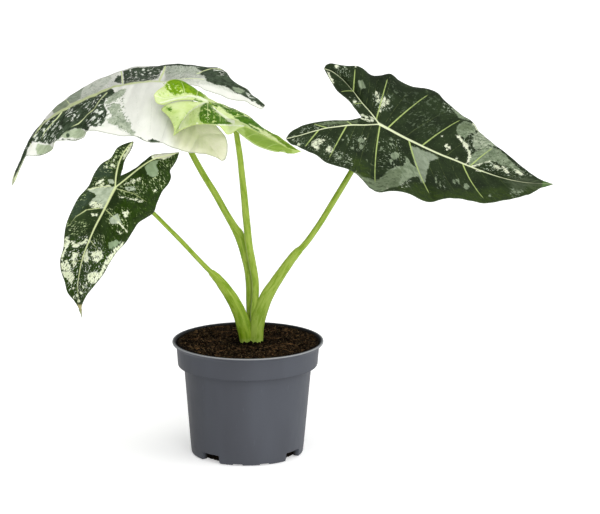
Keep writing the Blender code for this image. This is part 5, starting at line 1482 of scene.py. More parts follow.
def pattern_young():
    """Side 0 is the far half, side 1 the near half."""
    return [
        layer("solid", (98, 140, 0), (128, 165, 8), [
            area((165.4, 88), (168.4, 80), (174.4, 77), (184, 80), (194, 87), (202, 93.6), (208.4, 99.8),
                 (201, 98.6), (192, 94.2), (184, 93.4), (176.4, 94.8), (172, 94.4), (169.4, 92), on=0),
        ], soft=0.8, wobble=3.0, grain=(1.0, 0.8)),
        layer("fleck", (72, 118, 0), (92, 134, 2), [
            area((166, 88), (168.4, 80), (174.4, 77), (184, 80), (194, 87), (202, 93.6), (208.4, 99.8),
                 (201, 98.6), (192, 94.2), (184, 93.4), (174, 93), on=0),
        ], soft=1.0, cover=0.53, grain=(1.1, 1.0), strength=0.8),
        layer("fleck", (184, 212, 100), (208, 226, 150), [
            area((160, 88), (168, 82), (178, 86), (190, 93), (186, 97), (170, 98), (156, 97), on=0),
        ], soft=1.5, cover=0.55, grain=(0.8, 1.1)),
        layer("solid", (150, 186, 70), (170, 200, 100), [
            area((158, 104), (170, 106), (178, 112), (182, 122), (180, 130), (174, 132), (170, 118),
                 (160, 110), on=1),
            area((205, 112), (198, 108), (192, 114), (187, 124), (196, 126), (204, 123), on=1),
        ], soft=2.0, wobble=5.0, grain=(0.8, 0.6), strength=0.3),
        layer("fleck", (120, 166, 40), (150, 188, 78), [
            area((158, 104), (172, 106), (178, 114), (182, 124), (178, 133), (168, 118), (160, 110), on=1),
            area((156, 92), (166, 90), (172, 98), (158, 100), on=0),
            area((184, 112), (202, 108), (204, 122), (186, 126), on=1),
        ], soft=1.0, cover=0.562, grain=(0.9, 0.7), strength=0.45),
        layer("solid", (62, 106, 14), (84, 130, 20), [
            area((190, 100.4), (195, 99.2), (200.4, 100.4), (202.4, 101.8), (196, 102.0), (190.6, 101.8)),
            dots((170.3, 109.6, 2.0), (167.4, 107.8, 1.0), on=1),
        ], soft=0.7, wobble=2.4, grain=(1.4, 1.0)),
        layer("solid", (58, 98, 12), (86, 130, 22), [
            area((201.3, 106.6), (205, 104.2), (211, 103.2), (219, 104.6), (216.0, 110), (219.7, 115.2),
                 (227, 120.9), (233.4, 124.8), (218.7, 125.2), (206, 124.8), (200.8, 121.6),
                 (198.2, 116.3), (200.2, 111)),
            area((218, 104.4), (232.3, 108.2), (241.0, 112.0), (248, 115.2), (256.6, 122.2), (264.2, 128.0),
                 (264, 133.6), (254.4, 131.0), (246, 125.7), (238.6, 121.5), (230, 115), (222, 109), on=0),
        ], soft=0.7, wobble=1.8, grain=(1.5, 1.0)),
        layer("fleck", (176, 204, 96), (214, 226, 160), [
            area((199, 105), (216, 104), (232, 122), (206, 124), (200, 116)),
            area((222, 107), (236, 110), (242, 113), (240, 120), (232, 118), on=0),
        ], soft=1.0, cover=0.575, grain=(1.2, 0.8)),
        layer("fleck", (206, 220, 150), (226, 234, 190), [
            area((208, 104), (216, 104), (236, 122), (228, 124), (212, 112)),
            area((222, 105), (234, 108), (242, 112), (236, 114), (226, 110), on=0),
        ], soft=1.0, cover=0.555, grain=(0.5, 1.6)),
        layer("solid", (86, 120, 10), (118, 148, 38), [
            area((264, 128), (278, 135.5), (288, 143), (301, 152), (290, 152), (276, 142), (264, 133.6), on=0),
        ], soft=1.0, wobble=3.0, grain=(1.0, 0.8)),
        layer("solid", (200, 214, 146), (216, 227, 174), [
            line((249, 124.8), (259.7, 130.8), (270, 136.8), (279, 143.4), (290, 151.4),
                 half=(0.5, 1.4, 1.7, 1.3, 0.8), on=0),
            line((226, 104.8), (232, 108.0), (240, 112.0), (250, 118.4), half=0.5, on=0),
        ], soft=0.6, wobble=2.0, grain=(1.4, 0.9)),
        layer("solid", (104, 134, 30), (130, 157, 56), [
            area((243, 125), (256, 131), (268, 137), (280, 143), (292, 149), (292, 153), (262, 148),
                 (246, 136), on=1),
        ], soft=1.2, wobble=1.4, grain=(0.5, 0.4), strength=0.85),
        layer("solid", (70, 106, 12), (92, 128, 28), [
            area((247, 131.6), (258, 134.8), (270, 139.8), (284, 146.0), (278, 148.2), (264, 144.8),
                 (251, 138.6), on=1),
        ], soft=1.3, wobble=1.6, grain=(0.6, 0.5), strength=0.9),
        layer("solid", (232, 238, 212), (224, 234, 196), [
            line((207.1, 101.6), (197.6, 97.2), (189.2, 96.5), (179.7, 97.9), (168.2, 101), (160.0, 102.8),
                 half=(0.9, 1.0, 0.9, 0.8, 0.6, 0.3), on=0),
            line((204.9, 103.0), (197.6, 106.6), (190.4, 111.4), (185, 117.6), (181.3, 124.7),
                 (179.5, 129.4), half=(0.9, 1.0, 0.9, 0.8, 0.6, 0.3), on=1),
            line((212.5, 107.6), (220.8, 114.4), (228.1, 119.7), (234.4, 124.2), half=(0.7, 1.4, 1.5, 1.0)),
            dots((233.4, 122.4, 1.6), (229.6, 121.4, 1.4), (197.6, 124.0, 1.2)),
            line((175.5, 135.0), (181.8, 130.1), (190.2, 126.6), (203.9, 124.7), (218.7, 125.2),
                 (234.4, 126.2), (244, 126.0), half=0.55, on=1),
        ], soft=0.4, wobble=1.0, grain=(1.5, 1.1)),
    ]


def leaves():
    """Each blade with its pattern, finish and fineness."""
    dark = ((21, 33, 12), (36, 50, 23), (59, 75, 42))
    cream, pale = (222, 230, 188), (178, 198, 118)
    found = []

    patterns = pattern_large()
    finish = leaf_material(
        "blade_white_marbled", ((228, 230, 220), (236, 237, 228), (240, 241, 234)), patterns,
        ((216, 226, 174), (224, 229, 205), 0.0, 0.0, (150, 158, 140), 0.6),
        ((206, 214, 176), 0.55), rough=0.5, sheen=0.0)
    found.append(("leaf_blade_large", leaf_large(), patterns, finish, "leaf_variegated", "blade_large_leaf",
                  dict(pitch=0.385, across=64, inner_across=30, quilt=0.24, seed=1.0,
                       vein_half=0.22, rib_half=0.40, soft_lobe=(0, 260, 0.5), rib_until=204)))

    patterns = pattern_young()
    finish = leaf_material(
        "blade_fresh_green", ((196, 215, 136), (211, 226, 166), (222, 233, 190)), patterns,
        ((226, 234, 196), (206, 222, 150), 0.7, 0.25, (196, 214, 120), 0.6),
        ((150, 180, 74), 0.6), rough=0.42, sheen=0.0)
    found.append(("leaf_blade_young", leaf_young(), patterns, finish, "leaf_young", "blade_young_leaf",
                  dict(pitch=0.28, across=48, inner_across=20, quilt=0.20, ripple=0.05, seed=2.0,
                       vein_half=0.2, rib_half=0.38)))

    patterns = pattern_right()
    finish = leaf_material(
        "blade_dark_velvet", dark, patterns,
        (cream, pale, 0.95, 0.12, (70, 84, 62), 0.5),
        ((118, 142, 92), 0.55), rough=0.55, sheen=0.03)
    found.append(("leaf_blade_right", leaf_right(), patterns, finish, "leaf_dark", "blade_right_leaf",
                  dict(pitch=0.36, across=70, inner_across=24, quilt=0.38, seed=3.0,
                       vein_half=0.26, rib_half=0.50)))

    patterns = pattern_hanging()
    finish = leaf_material(
        "blade_dark_splashed", ((28, 43, 14), (42, 60, 22), (66, 86, 38)), patterns,
        ((218, 228, 170), pale, 0.0, 0.0, (64, 78, 54), 0.6),
        ((118, 142, 92), 0.55), rough=0.5, sheen=0.03)
    found.append(("leaf_blade_hanging", leaf_hanging(), patterns, finish, "leaf_dark", "blade_hanging_leaf",
                  dict(pitch=0.30, across=52, inner_across=18, quilt=0.30, seed=4.0,
                       vein_half=0.26, rib_half=0.50)))
    return found


# ------------------------------------------------------------- turned things
def fillet(outline, steps=4):
    """A profile with its corners rounded: each corner is (radius, height, round)."""
    found = []
    for i, (r, z, size) in enumerate(outline):
        if not size or i in (0, len(outline) - 1):
            found.append((r, z))
            continue
        here = np.array([r, z])
        back = np.array(outline[i - 1][:2]) - here
        ahead = np.array(outline[i + 1][:2]) - here
        cut = min(size, 0.48 * np.linalg.norm(back), 0.48 * np.linalg.norm(ahead))
        a = here + back / np.linalg.norm(back) * cut
        b = here + ahead / np.linalg.norm(ahead) * cut
        for t in np.linspace(0, 1, steps + 1):
            found.append(tuple(a * (1 - t) ** 2 + here * 2 * t * (1 - t) + b * t * t))
    return found


def divided(outline, longest):
    """A profile with its long stretches divided."""
    found = [outline[0]]
    for (r0, z0), (r1, z1) in zip(outline[:-1], outline[1:]):
        n = max(1, math.ceil(math.hypot(r1 - r0, z1 - z0) / longest))
        found += [(r0 + (r1 - r0) * k / n, z0 + (z1 - z0) * k / n) for k in range(1, n + 1)]
    return found


def turned_faces(rows, columns, closed_ends=True):
    """Faces of a turned grid: point 0, then rows x columns points, then a last point."""
    s = np.arange(columns)
    t = (s + 1) % columns
    tris = [np.stack([np.zeros_like(s), 1 + t, 1 + s], 1)]
    quads = []
    for k in range(rows - 1):
        a, b = 1 + k * columns + s, 1 + k * columns + t
        quads.append(np.stack([a, b, b + columns, a + columns], 1))
    last = 1 + rows * columns
    tris.append(
        np.stack([1 + (rows - 1) * columns + s, 1 + (rows - 1) * columns + t, np.full_like(s, last)], 1)
    )
    return np.concatenate(quads), np.concatenate(tris)


def make_pot(material):
    outline = fillet([
        (0, 0, 0), (PAD_RADIUS, 0, 0.5), (PAD_RADIUS + 0.5, CHANNEL, 0.4),
        (FOOT_RING - 0.3, CHANNEL, 0.3), (FOOT_RING, 0, 0.35), (FOOT_RADIUS, 0, 0.55),
        (FOOT_RADIUS + 0.42, 4.0, 0.6), (WALL_TOP_RADIUS, BAND_BOTTOM + 0.25, 0.5),
        (BAND_BOTTOM_RADIUS - 0.1, BAND_BOTTOM, 0.5), (BAND_BOTTOM_RADIUS, BAND_BOTTOM + 0.45, 0.4),
        (BAND_TOP_RADIUS, RIM_TOP - 1.9, 0.4), (BAND_TOP_RADIUS + 0.55, RIM_TOP - 1.3, 0.4),
        (RIM_RADIUS, RIM_TOP - 0.75, 0.3), (RIM_RADIUS, RIM_TOP - 0.05, 0.22),
        (RIM_RADIUS - 0.95, RIM_TOP, 0.25), (BAND_TOP_RADIUS - WALL + 0.05, RIM_TOP - 2.1, 0.8),
        (BAND_BOTTOM_RADIUS - WALL, BAND_BOTTOM + 0.3, 0.6),
        (WALL_TOP_RADIUS - WALL, BAND_BOTTOM - 1.0, 0.6),
        (FOOT_RADIUS - WALL, FLOOR_TOP, 0.8), (0, FLOOR_TOP, 0),
    ])
    outline = divided(outline, 3.0)
    cuts = [(c, NOTCH_WIDTH, NOTCH_HEIGHT, 0.9) for c in NOTCHES] + [
        (c, SLIT_WIDTH, SLIT_HEIGHT, 0.4) for c in SLITS
    ]
    angles = set(np.round(np.linspace(-180, 180, 217)[:-1], 3))
    per_mm = math.degrees(1 / FOOT_RADIUS)
    for centre, width, height, corner in cuts:
        for sign in (-1, 1):
            edge = centre + sign * width / 2
            angles = {a for a in angles if abs(a - edge) > 1.25 * corner * per_mm}
            for mm in (-1.0, -0.7, -0.4, -0.2, -0.05, 0.05, 0.2, 0.45, 0.75, 1.0):
                angles.add(round(edge - sign * mm * corner * per_mm, 4))
    angles = np.array(sorted(angles))
    lift = np.zeros(len(angles))
    for centre, width, height, corner in cuts:
        inward = (width / 2 - np.abs(angles - centre)) / per_mm / corner   # in corners, + inside
        outside = np.clip(inward, -1, 0)
        rounding = corner * (1 - np.sqrt(np.maximum(1 - (outside + 1) ** 2, 0))) * (inward > -1)
        top = height - 0.5 * corner * (1 - np.sqrt(np.maximum(1 - (1 - np.clip(inward, 0, 1)) ** 2, 0)))
        here = np.where(inward > 0, top, np.minimum(rounding, height * 0.45))
        lift = np.maximum(lift, here)
    turn = np.radians(angles)
    rows = []
    for r, z in outline[1:-1]:
        ring = FOOT_RING - 0.32 <= r <= FOOT_RADIUS + 0.45 and z < NOTCH_HEIGHT + 0.3
        height = np.maximum(z, lift) if ring else np.full(len(angles), z)
        rows.append(np.stack([r * np.cos(turn) + LEAN * height, r * np.sin(turn), height], 1))
    points = np.concatenate([[(0, 0, outline[0][1])], *rows, [(0, 0, outline[-1][1])]])
    quads, tris = turned_faces(len(rows), len(angles))
    out = np.hypot(points[:, 0] - LEAN * points[:, 2], points[:, 1])
    profile = np.array(outline[1:-1])
    crest = int(np.argmax(profile[:, 1] - 0.01 * profile[:, 0]))
    past = np.concatenate([[0.0], np.repeat(np.arange(len(rows)) >= crest, len(angles)), [1.0]])
    # Painted shade: the inside of the rim, down to the soil, and the underside round the drain channel are darkened
    # almost to black, where shade falls.
    pot_painted_shade = past * smooth((RIM_RADIUS - 0.75 - out) / 0.4)
    below = (points[:, 2] < 3.1) * smooth((FOOT_RADIUS - 0.6 - out) / 0.5)
    pot_painted_shade = np.maximum(pot_painted_shade, below)
    # Painted highlight: a light grey line along the outer top edge of the rim.
    rim_painted_highlight = smooth((points[:, 2] - RIM_TOP + 0.55) / 0.4) * smooth((out - RIM_RADIUS + 0.75) / 0.3)
    seam = np.exp(-(((points[:, 2] - BAND_BOTTOM - 0.1) / 0.35) ** 2)) * (out > WALL_TOP_RADIUS - 0.3)
    obj = mesh_object("pot_moulded", points, quads, tris, {"rim_painted_highlight": rim_painted_highlight, "seam": seam, "pot_painted_shade": pot_painted_shade}, sharp=38)
    return finish_piece(obj, material, "pot", "nursery_pot")


def soil_height(x, y):
    """The soil's surface: crumbly, a little higher towards the stems."""
    r = math.hypot(x, y)
    p = Vector((x, y, 0.0))
    rough = 0.55 * noise.fractal(p * 0.33, 0.8, 2.1, 5) + 0.28 * noise.noise(p * 1.7)
    near = math.exp(-(((x - 1.9) / 8.5) ** 2) - ((y - 0.1) / 7.5) ** 2)
    edge = smooth((r - 22.0) / 5.0)
    return SOIL_TOP - 0.15 + 0.1 * near + 0.15 * float(edge) + (0.62 - 0.42 * float(edge)) * rough


def painted_soil_shade(points):
    """Painted shade on the soil: darker in the hollow round the stems and under the rim, where shade falls."""
    x, y = points[:, 0], points[:, 1]
    near = np.exp(-(((x - 1.9) / 8.0) ** 2) - ((y + 1.0) / 6.0) ** 2)
    out = smooth((np.hypot(x - LEAN * SOIL_TOP, y) - 25.4) / 2.2)
    return np.clip(np.maximum(1.25 * near, 0.75 * out), 0, 1)


def make_soil(material):
    g = SOIL_GAP
    side = divided([
        (FOOT_RADIUS - WALL - 0.4 - g, FLOOR_TOP + g), (FOOT_RADIUS - WALL + 0.3 - g, FLOOR_TOP + 0.6 + g),
        (WALL_TOP_RADIUS - WALL - 0.1 - g, BAND_BOTTOM - 1.0 + g / 2),
        (BAND_BOTTOM_RADIUS - WALL - 0.15 - g, BAND_BOTTOM + 0.2 + g),
        (BAND_TOP_RADIUS - WALL - 0.02 - g, RIM_TOP - 2.1),
        (BAND_TOP_RADIUS - WALL + 0.85 - g, RIM_TOP - 0.9), (BAND_TOP_RADIUS - WALL + 1.1 - g, SOIL_TOP),
    ], 2.5)
    columns = 200
    turn = np.radians(np.arange(columns) * 360 / columns)
    rim = side[-1][0]
    rows = [np.stack([r * np.cos(turn) + LEAN * z, r * np.sin(turn), np.full(columns, z)], 1) for r, z in side]
    count = 66
    for k in range(1, count):
        r = rim * (1 - k / count)
        row = [(r * math.cos(t) + LEAN * SOIL_TOP, r * math.sin(t)) for t in turn]
        row = [(x, y, soil_height(x, y)) for x, y in row]
        rows.append(np.array(row))
    points = np.concatenate(
        [[(0, 0, FLOOR_TOP + g)], *rows, [(0, 0, soil_height(0, 0))]]
    )
    quads, tris = turned_faces(len(rows), columns)
    obj = mesh_object("soil_mix", points, quads, tris, {"soil_painted_shade": painted_soil_shade(points)})
    return finish_piece(obj, material, "soil", "potting_soil")


def ball():
    """A small ball of 42 points to be bent into crumbs."""
    p = (1 + 5 ** 0.5) / 2
    base = np.array([(-1, p, 0), (1, p, 0), (-1, -p, 0), (1, -p, 0), (0, -1, p), (0, 1, p),
                     (0, -1, -p), (0, 1, -p), (p, 0, -1), (p, 0, 1), (-p, 0, -1), (-p, 0, 1)], float)
    faces = [(0, 11, 5), (0, 5, 1), (0, 1, 7), (0, 7, 10), (0, 10, 11), (1, 5, 9), (5, 11, 4),
             (11, 10, 2), (10, 7, 6), (7, 1, 8), (3, 9, 4), (3, 4, 2), (3, 2, 6), (3, 6, 8),
             (3, 8, 9), (4, 9, 5), (2, 4, 11), (6, 2, 10), (8, 6, 7), (9, 8, 1)]
    points, index, found = list(base), {}, []

    def middle(a, b):
        key = (min(a, b), max(a, b))
        if key not in index:
            index[key] = len(points)
            points.append((points[a] + points[b]) / 2)
        return index[key]

    for a, b, c in faces:
        ab, bc, ca = middle(a, b), middle(b, c), middle(c, a)
        found += [(a, ab, ca), (b, bc, ab), (c, ca, bc), (ab, bc, ca)]
    points = np.array(points)
    return points / np.linalg.norm(points, axis=1)[:, None], np.array(found)


def make_crumbs(material):
    """Loose crumbs of bark and peat on the soil."""
    rng = np.random.default_rng(11)
    shape, faces = ball()
    points, tris, tones = [], [], []
    for k in range(1700):
        r = 27.0 * math.sqrt(rng.random())
        t = rng.random() * 2 * math.pi
        x, y = r * math.cos(t), r * math.sin(t)
        near = ((x - 1.9) / 5.0) ** 2 + ((y + 0.6) / 3.2) ** 2
        if near < 1:
            continue
        size = 0.15 + 0.50 * rng.random() ** (3 if near > 1.8 else 1)
        stretch = np.array([1 + 1.3 * rng.random() ** 2, 0.8 + 0.4 * rng.random(), 0.5 + 0.4 * rng.random()])
        bump = 1 + 0.28 * rng.standard_normal(len(shape))
        body = shape * bump[:, None] * stretch * size
        a, b = rng.random() * math.pi, (rng.random() - 0.5) * 0.9
        spin = np.array([[math.cos(a), -math.sin(a), 0], [math.sin(a), math.cos(a), 0], [0, 0, 1]])
        lean = np.array([[math.cos(b), 0, math.sin(b)], [0, 1, 0], [-math.sin(b), 0, math.cos(b)]])
        body = body @ (spin @ lean).T
        z = soil_height(x, y) + size * 0.12
        reach = np.hypot(body[:, 0] + x - LEAN * SOIL_TOP, body[:, 1] + y).max()
        if reach > 27.3:
            continue
        tris.append(faces + len(points) * len(shape))
        points.append(body + (x, y, z))
        tones.append(np.full(len(shape), rng.random()))
    # clods pressed against the foot of the stems, darkened by the painted shade there
    for x, y, size in ((1.45, -3.75, 0.85), (1.1, -3.9, 0.6), (-1.0, -3.6, 0.42), (-2.9, -3.0, 0.5),
                       (3.3, -3.9, 0.4), (5.0, -3.5, 0.5), (6.1, -2.7, 0.6), (-0.1, -4.1, 0.35)):
        bump = 1 + 0.28 * rng.standard_normal(len(shape))
        body = shape * bump[:, None] * (1.0, 0.7, 1.1) * size
        tris.append(faces + len(points) * len(shape))
        points.append(body + (x, y, soil_height(x, y) + 0.35 * size))
        tones.append(np.zeros(len(shape)))
    points = np.concatenate(points)
    obj = mesh_object("soil_crumbs", points, None, np.concatenate(tris),
                      {"tone": np.concatenate(tones), "soil_painted_shade": painted_soil_shade(points)})
    return finish_piece(obj, material, "soil")


def make_fibres(material):
    """Thin bent fibres of peat and coir lying on the soil."""
    rng = np.random.default_rng(5)
    points, quads, tones, start = [], [], [], 0
    sides, steps = 5, 9
    for k in range(210):
        r = 24.5 * math.sqrt(rng.random())
        t = rng.random() * 2 * math.pi
        x, y = r * math.cos(t), r * math.sin(t)
        if ((x - 1.9) / 6.0) ** 2 + (y / 5.0) ** 2 < 1:
            continue
        way = rng.random() * 2 * math.pi
        bend = (rng.random() - 0.5) * 0.5
        length = 2.0 + 5.0 * rng.random() ** 2
        half = 0.05 + 0.09 * rng.random()
        line = []
        for s in range(steps + 1):
            line.append((x, y, soil_height(x, y) + 0.18 + half + 0.5 * rng.random() * (s in (0, steps))))
            x += math.cos(way) * length / steps
            y += math.sin(way) * length / steps
            way += bend + (rng.random() - 0.5) * 0.35
        line = np.array(line)
        if np.hypot(line[:, 0], line[:, 1]).max() > 26.2:
            continue
        slope = np.gradient(line, axis=0)
        slope /= np.linalg.norm(slope, axis=1)[:, None]
        side = np.cross(slope, (0.0, 0.0, 1.0))
        side /= np.linalg.norm(side, axis=1)[:, None]
        top = np.cross(side, slope)
        for s in range(steps + 1):
            taper = half * (1 - 0.7 * abs(2 * s / steps - 1) ** 3)
            for c in range(sides):
                a = 2 * math.pi * c / sides
                points.append(line[s] + taper * (side[s] * math.cos(a) + top[s] * math.sin(a)))
        for s in range(steps):
            for c in range(sides):
                a, b = start + s * sides + c, start + s * sides + (c + 1) % sides
                quads.append((a, b, b + sides, a + sides))
        tones += [rng.random()] * (sides * (steps + 1))
        start += sides * (steps + 1)
    points = np.array(points)
    obj = mesh_object("soil_fibres", points, quads, None, {"tone": tones, "soil_painted_shade": painted_soil_shade(points)})
    return finish_piece(obj, material, "soil")


def make_notch_shade_ring(material):
    """A dark ring in the channel behind the drain notches, shaped as settled soil and painted with shade all over: it
    stands in for the shade seen through the notches.
    """
    outline = divided([(14.0, 0.25), (19.1, 0.25), (19.25, 2.2), (14.0, 2.3), (14.0, 0.25)], 0.6)[:-1]
    columns = 180
    rows = []
    for r, z in outline:
        row = []
        for k in range(columns):
            t = 2 * math.pi * k / columns
            p = Vector((r * math.cos(t), r * math.sin(t), z))
            reach = r - 0.15 + 0.25 * noise.noise(p * 1.3)
            row.append((reach * math.cos(t), reach * math.sin(t), max(0.05, z + 0.2 * noise.noise(p * 1.1 + Vector((9, 0, 0))))))
        rows.append(row)
    points = np.array(rows).reshape(-1, 3)
    s = np.arange(columns)
    t = (s + 1) % columns
    quads = []
    for k in range(len(outline)):
        a, b = k * columns, ((k + 1) % len(outline)) * columns
        quads.append(np.stack([a + s, a + t, b + t, b + s], 1))
    # Painted shade over the whole ring.
    obj = mesh_object("notch_shade_ring", points, np.concatenate(quads), None,
                      {"soil_painted_shade": np.ones(len(points)), "tone": np.zeros(len(points))})
    return finish_piece(obj, material, "soil")


def make_corm(material):
    outline = fillet([(0, 31.4, 0), (3.0, 31.5, 0.8), (4.2, 32.8, 0.8), (4.5, 35.0, 1.0),
                      (4.3, 37.2, 0.8), (3.4, 38.0, 0.6), (0, 38.0, 0)])
    outline = divided(outline, 0.25)
    columns = 96
    rows = []
    for r, z in outline[1:-1]:
        row = []
        for k in range(columns):
            t = 2 * math.pi * k / columns
            ring = 0.09 * math.sin(6.5 * z) * min(1, r / 3)
            rough = 0.12 * noise.noise(Vector((6 * math.cos(t), 6 * math.sin(t), z * 1.4)))
            reach = r + min(r, 1.0) * (ring + rough) - 0.1
            row.append((POCKET_CENTRE[0] + max(reach, 0.01) * 1.04 * math.cos(t),
                        POCKET_CENTRE[1] + max(reach, 0.01) * 0.84 * math.sin(t), z))
        rows.append(np.array(row))
    points = np.concatenate([[(*POCKET_CENTRE, outline[0][1])], *rows, [(*POCKET_CENTRE, outline[-1][1])]])
    quads, tris = turned_faces(len(rows), columns)
    obj = mesh_object("corm_ringed", points, quads, tris)
    return finish_piece(obj, material, "corm", "stem_base")


# ----------------------------------------------------------------- petioles
def make_petiole(name, node, stations, top, top_normal, material, sheath, seed, pale):
    """A juicy stalk: oval sections on a smooth line, faint ribs, and a sheath whose
    two thin edges meet on the side towards the other stalks.

    sheath: (reading down at its upper end, side: +1 or -1 across the view)."""
    sides, steps = 40, 9
    centres = np.array([sight(a, d, y) for a, d, y, _, _ in stations] + [top])
    last = stations[-1]
    half = np.array([(w, h) for *_, w, h in stations] + [(last[3] * 0.95, last[4] * 0.95)])
    run = run_of(centres)
    slope = np.gradient(centres, run, axis=0)
    line, way, size, length = [], [], [], []
    for k in range(len(centres) - 1):
        h = run[k + 1] - run[k]
        for s in range(steps + (k == len(centres) - 2)):
            x = s / steps
            line.append(centres[k] * (1 + 2 * x) * (1 - x) ** 2 + slope[k] * h * x * (1 - x) ** 2
                        + centres[k + 1] * x * x * (3 - 2 * x) + slope[k + 1] * h * x * x * (x - 1))
            way.append(slope[k] * (1 - x) + slope[k + 1] * x)
            blend = float(smooth(x))
            size.append(half[k] * (1 - blend) + half[k + 1] * blend)
            length.append(run[k] + h * x)
    line, size, length = np.array(line), np.array(size), np.array(length)
    way = np.array([w / np.linalg.norm(w) for w in way])
    down = readings(line)[:, 1]
    end, facing = sheath
    points, around, along, flap = [], [], [], []
    for k, (centre, axis, (w, h)) in enumerate(zip(line, way, size)):
        if k == 0:
            axis = np.array([0.0, 0.0, 1.0])
        if k == len(line) - 1:
            axis = top_normal if np.dot(top_normal, axis) > 0 else -top_normal
        side = np.cross(axis, np.array([0.0, 1.0, 0.0]))
        side /= np.linalg.norm(side)
        front = np.cross(side, axis)
        # share of the sheath here: full at the foot, none above its upper end
        share = float(smooth((down[k] - end) / 1.5)) * float(smooth((down[k] - end) / 45 + 0.35))
        flare = 1 + 0.22 * float(smooth(1 - (length[-1] - length[k]) / 2.5))
        for s in range(sides):
            angle = 2 * math.pi * s / sides
            ribs = 1 + 0.018 * math.sin(9 * angle + seed) + 0.012 * math.sin(14 * angle + 2 * seed)
            # the groove between the sheath's edges, towards the front on the inner side
            gap = math.atan2(math.sin(angle - 1.05 * facing_angle(facing)), math.cos(angle - 1.05 * facing_angle(facing)))
            dent = share * (0.20 * math.exp(-((gap / 0.16) ** 2)) - 0.07 * math.exp(-(((abs(gap) - 0.42) / 0.2) ** 2)))
            reach = ribs * flare * (1 - dent)
            points.append(centre + side * w * reach * math.cos(angle) + front * h * reach * math.sin(angle))
            around.append(math.cos(angle) * w)
            along.append(length[k])
            flap.append(share * math.exp(-(((abs(gap) - 0.30) / 0.13) ** 2)))
    rings = len(line)
    s = np.arange(sides)
    t = (s + 1) % sides
    quads = np.concatenate([
        np.stack([r * sides + s, r * sides + t, (r + 1) * sides + t, (r + 1) * sides + s], 1)
        for r in range(rings - 1)
    ])
    points += [line[0], line[-1]]
    around += [0, 0]
    along += [length[0], length[-1]]
    flap += [0, 0]
    low, high = rings * sides, rings * sides + 1
    tris = np.concatenate([
        np.stack([t, s, np.full_like(s, low)], 1),
        np.stack([(rings - 1) * sides + s, (rings - 1) * sides + t, np.full_like(s, high)], 1),
    ])
    points = np.array(points)
    grain = np.stack([np.array(along), np.array(around), np.full(len(points), seed * 3.0)], 1)
    obj = mesh_object(name, points, quads, tris,
                      {"flap": flap, "height": points[:, 2], "pale": np.full(len(points), pale)}, {"grain": grain})
    return finish_piece(obj, material, "petiole", node)


def facing_angle(facing):
    """The angle round a stalk at which its sheath opens, seen from in front."""
    return math.radians(52 if facing > 0 else 128) / 1.05


# ------------------------------------------------------------ other finishes
def pot_material():
    s = Shade("pot_plastic")
    at = s.place()
    broad = s.noise(s.stretch(at, (60, 60, 14)), 1.0, 2.0, 0.5)
    fine = s.noise(s.stretch(at, (2600, 2600, 2600)), 1.0, 2.0, 0.6)
    scuff = s.noise(s.stretch(at, (500, 500, 120), (1, 2, 3)), 1.0, 4.0, 0.7)
    colour = s.mix(s.step(broad, 0.3, 0.7), srgb(69, 71, 77), srgb(76, 79, 86))
    colour = s.mix(s.step(scuff, 0.62, 0.8, 0.0, 0.35), colour, srgb(99, 103, 110))
    colour = s.mix(s.math("MULTIPLY", s.attribute("seam"), 0.8), colour, srgb(60, 62, 68))
    # Painted highlight on the rim's outer top edge.
    colour = s.mix(s.math("MULTIPLY", s.attribute("rim_painted_highlight"), 0.85), colour, srgb(163, 165, 167))
    # Painted shade: near black inside the rim and under the pot.
    colour = s.mix(s.math("MULTIPLY", s.attribute("pot_painted_shade"), 0.97), colour, srgb(20, 19, 18))
    s.set(Base_Color=colour, Roughness=s.step(scuff, 0.3, 0.75, 0.46, 0.58),
          Normal=s.bump(fine, 0.12, 0.0001))
    s.set(Specular_IOR_Level=0.14)
    return s.made


def soil_material(name, light):
    s = Shade(name)
    at = s.place()
    lumps = s.noise(s.stretch(at, (420, 420, 420)), 1.0, 5.0, 0.7)
    specks = s.noise(s.stretch(at, (1500, 1500, 1500), (5, 1, 2)), 1.0, 3.0, 0.7)
    strands = s.noise(s.stretch(at, (260, 1500, 800), (2, 8, 1)), 1.0, 3.0, 0.7, 1.5)
    colour = s.mix(s.step(lumps, 0.42, 0.60), srgb(2, 1, 1), srgb(30, 21, 12))
    colour = s.mix(s.step(strands, 0.55, 0.62, 0.0, 0.7), colour, srgb(68, 49, 30))
    colour = s.mix(s.step(specks, 0.59, 0.65, 0.0, 0.85), colour, srgb(128, 108, 76))
    if light:
        tone = s.attribute("tone")
        colour = s.mix(s.step(tone, 0.55, 1.0, 0.0, 0.75), colour, srgb(*light))
    # Painted shade: near black round the stems and under the rim.
    colour = s.mix(s.math("MULTIPLY", s.attribute("soil_painted_shade"), 0.85), colour, srgb(8, 6, 4))
    s.set(Base_Color=colour, Roughness=0.92, Normal=s.bump(s.math("ADD", lumps, s.math("MULTIPLY", specks, 0.5)), 0.8, 0.0005))
    s.set(Specular_IOR_Level=0.03)
    return s.made


def corm_material():
    s = Shade("corm_skin")
    at = s.place()
    rings = s.noise(s.stretch(at, (150, 150, 1800)), 1.0, 3.0, 0.6)
    spots = s.noise(s.stretch(at, (900, 900, 900)), 1.0, 3.0, 0.6)
    colour = s.mix(s.step(rings, 0.35, 0.65), srgb(96, 74, 44), srgb(142, 122, 76))
    colour = s.mix(s.step(spots, 0.6, 0.72, 0.0, 0.7), colour, srgb(60, 44, 28))
    s.set(Base_Color=colour, Roughness=0.8, Normal=s.bump(rings, 0.6, 0.0004))
    return s.made


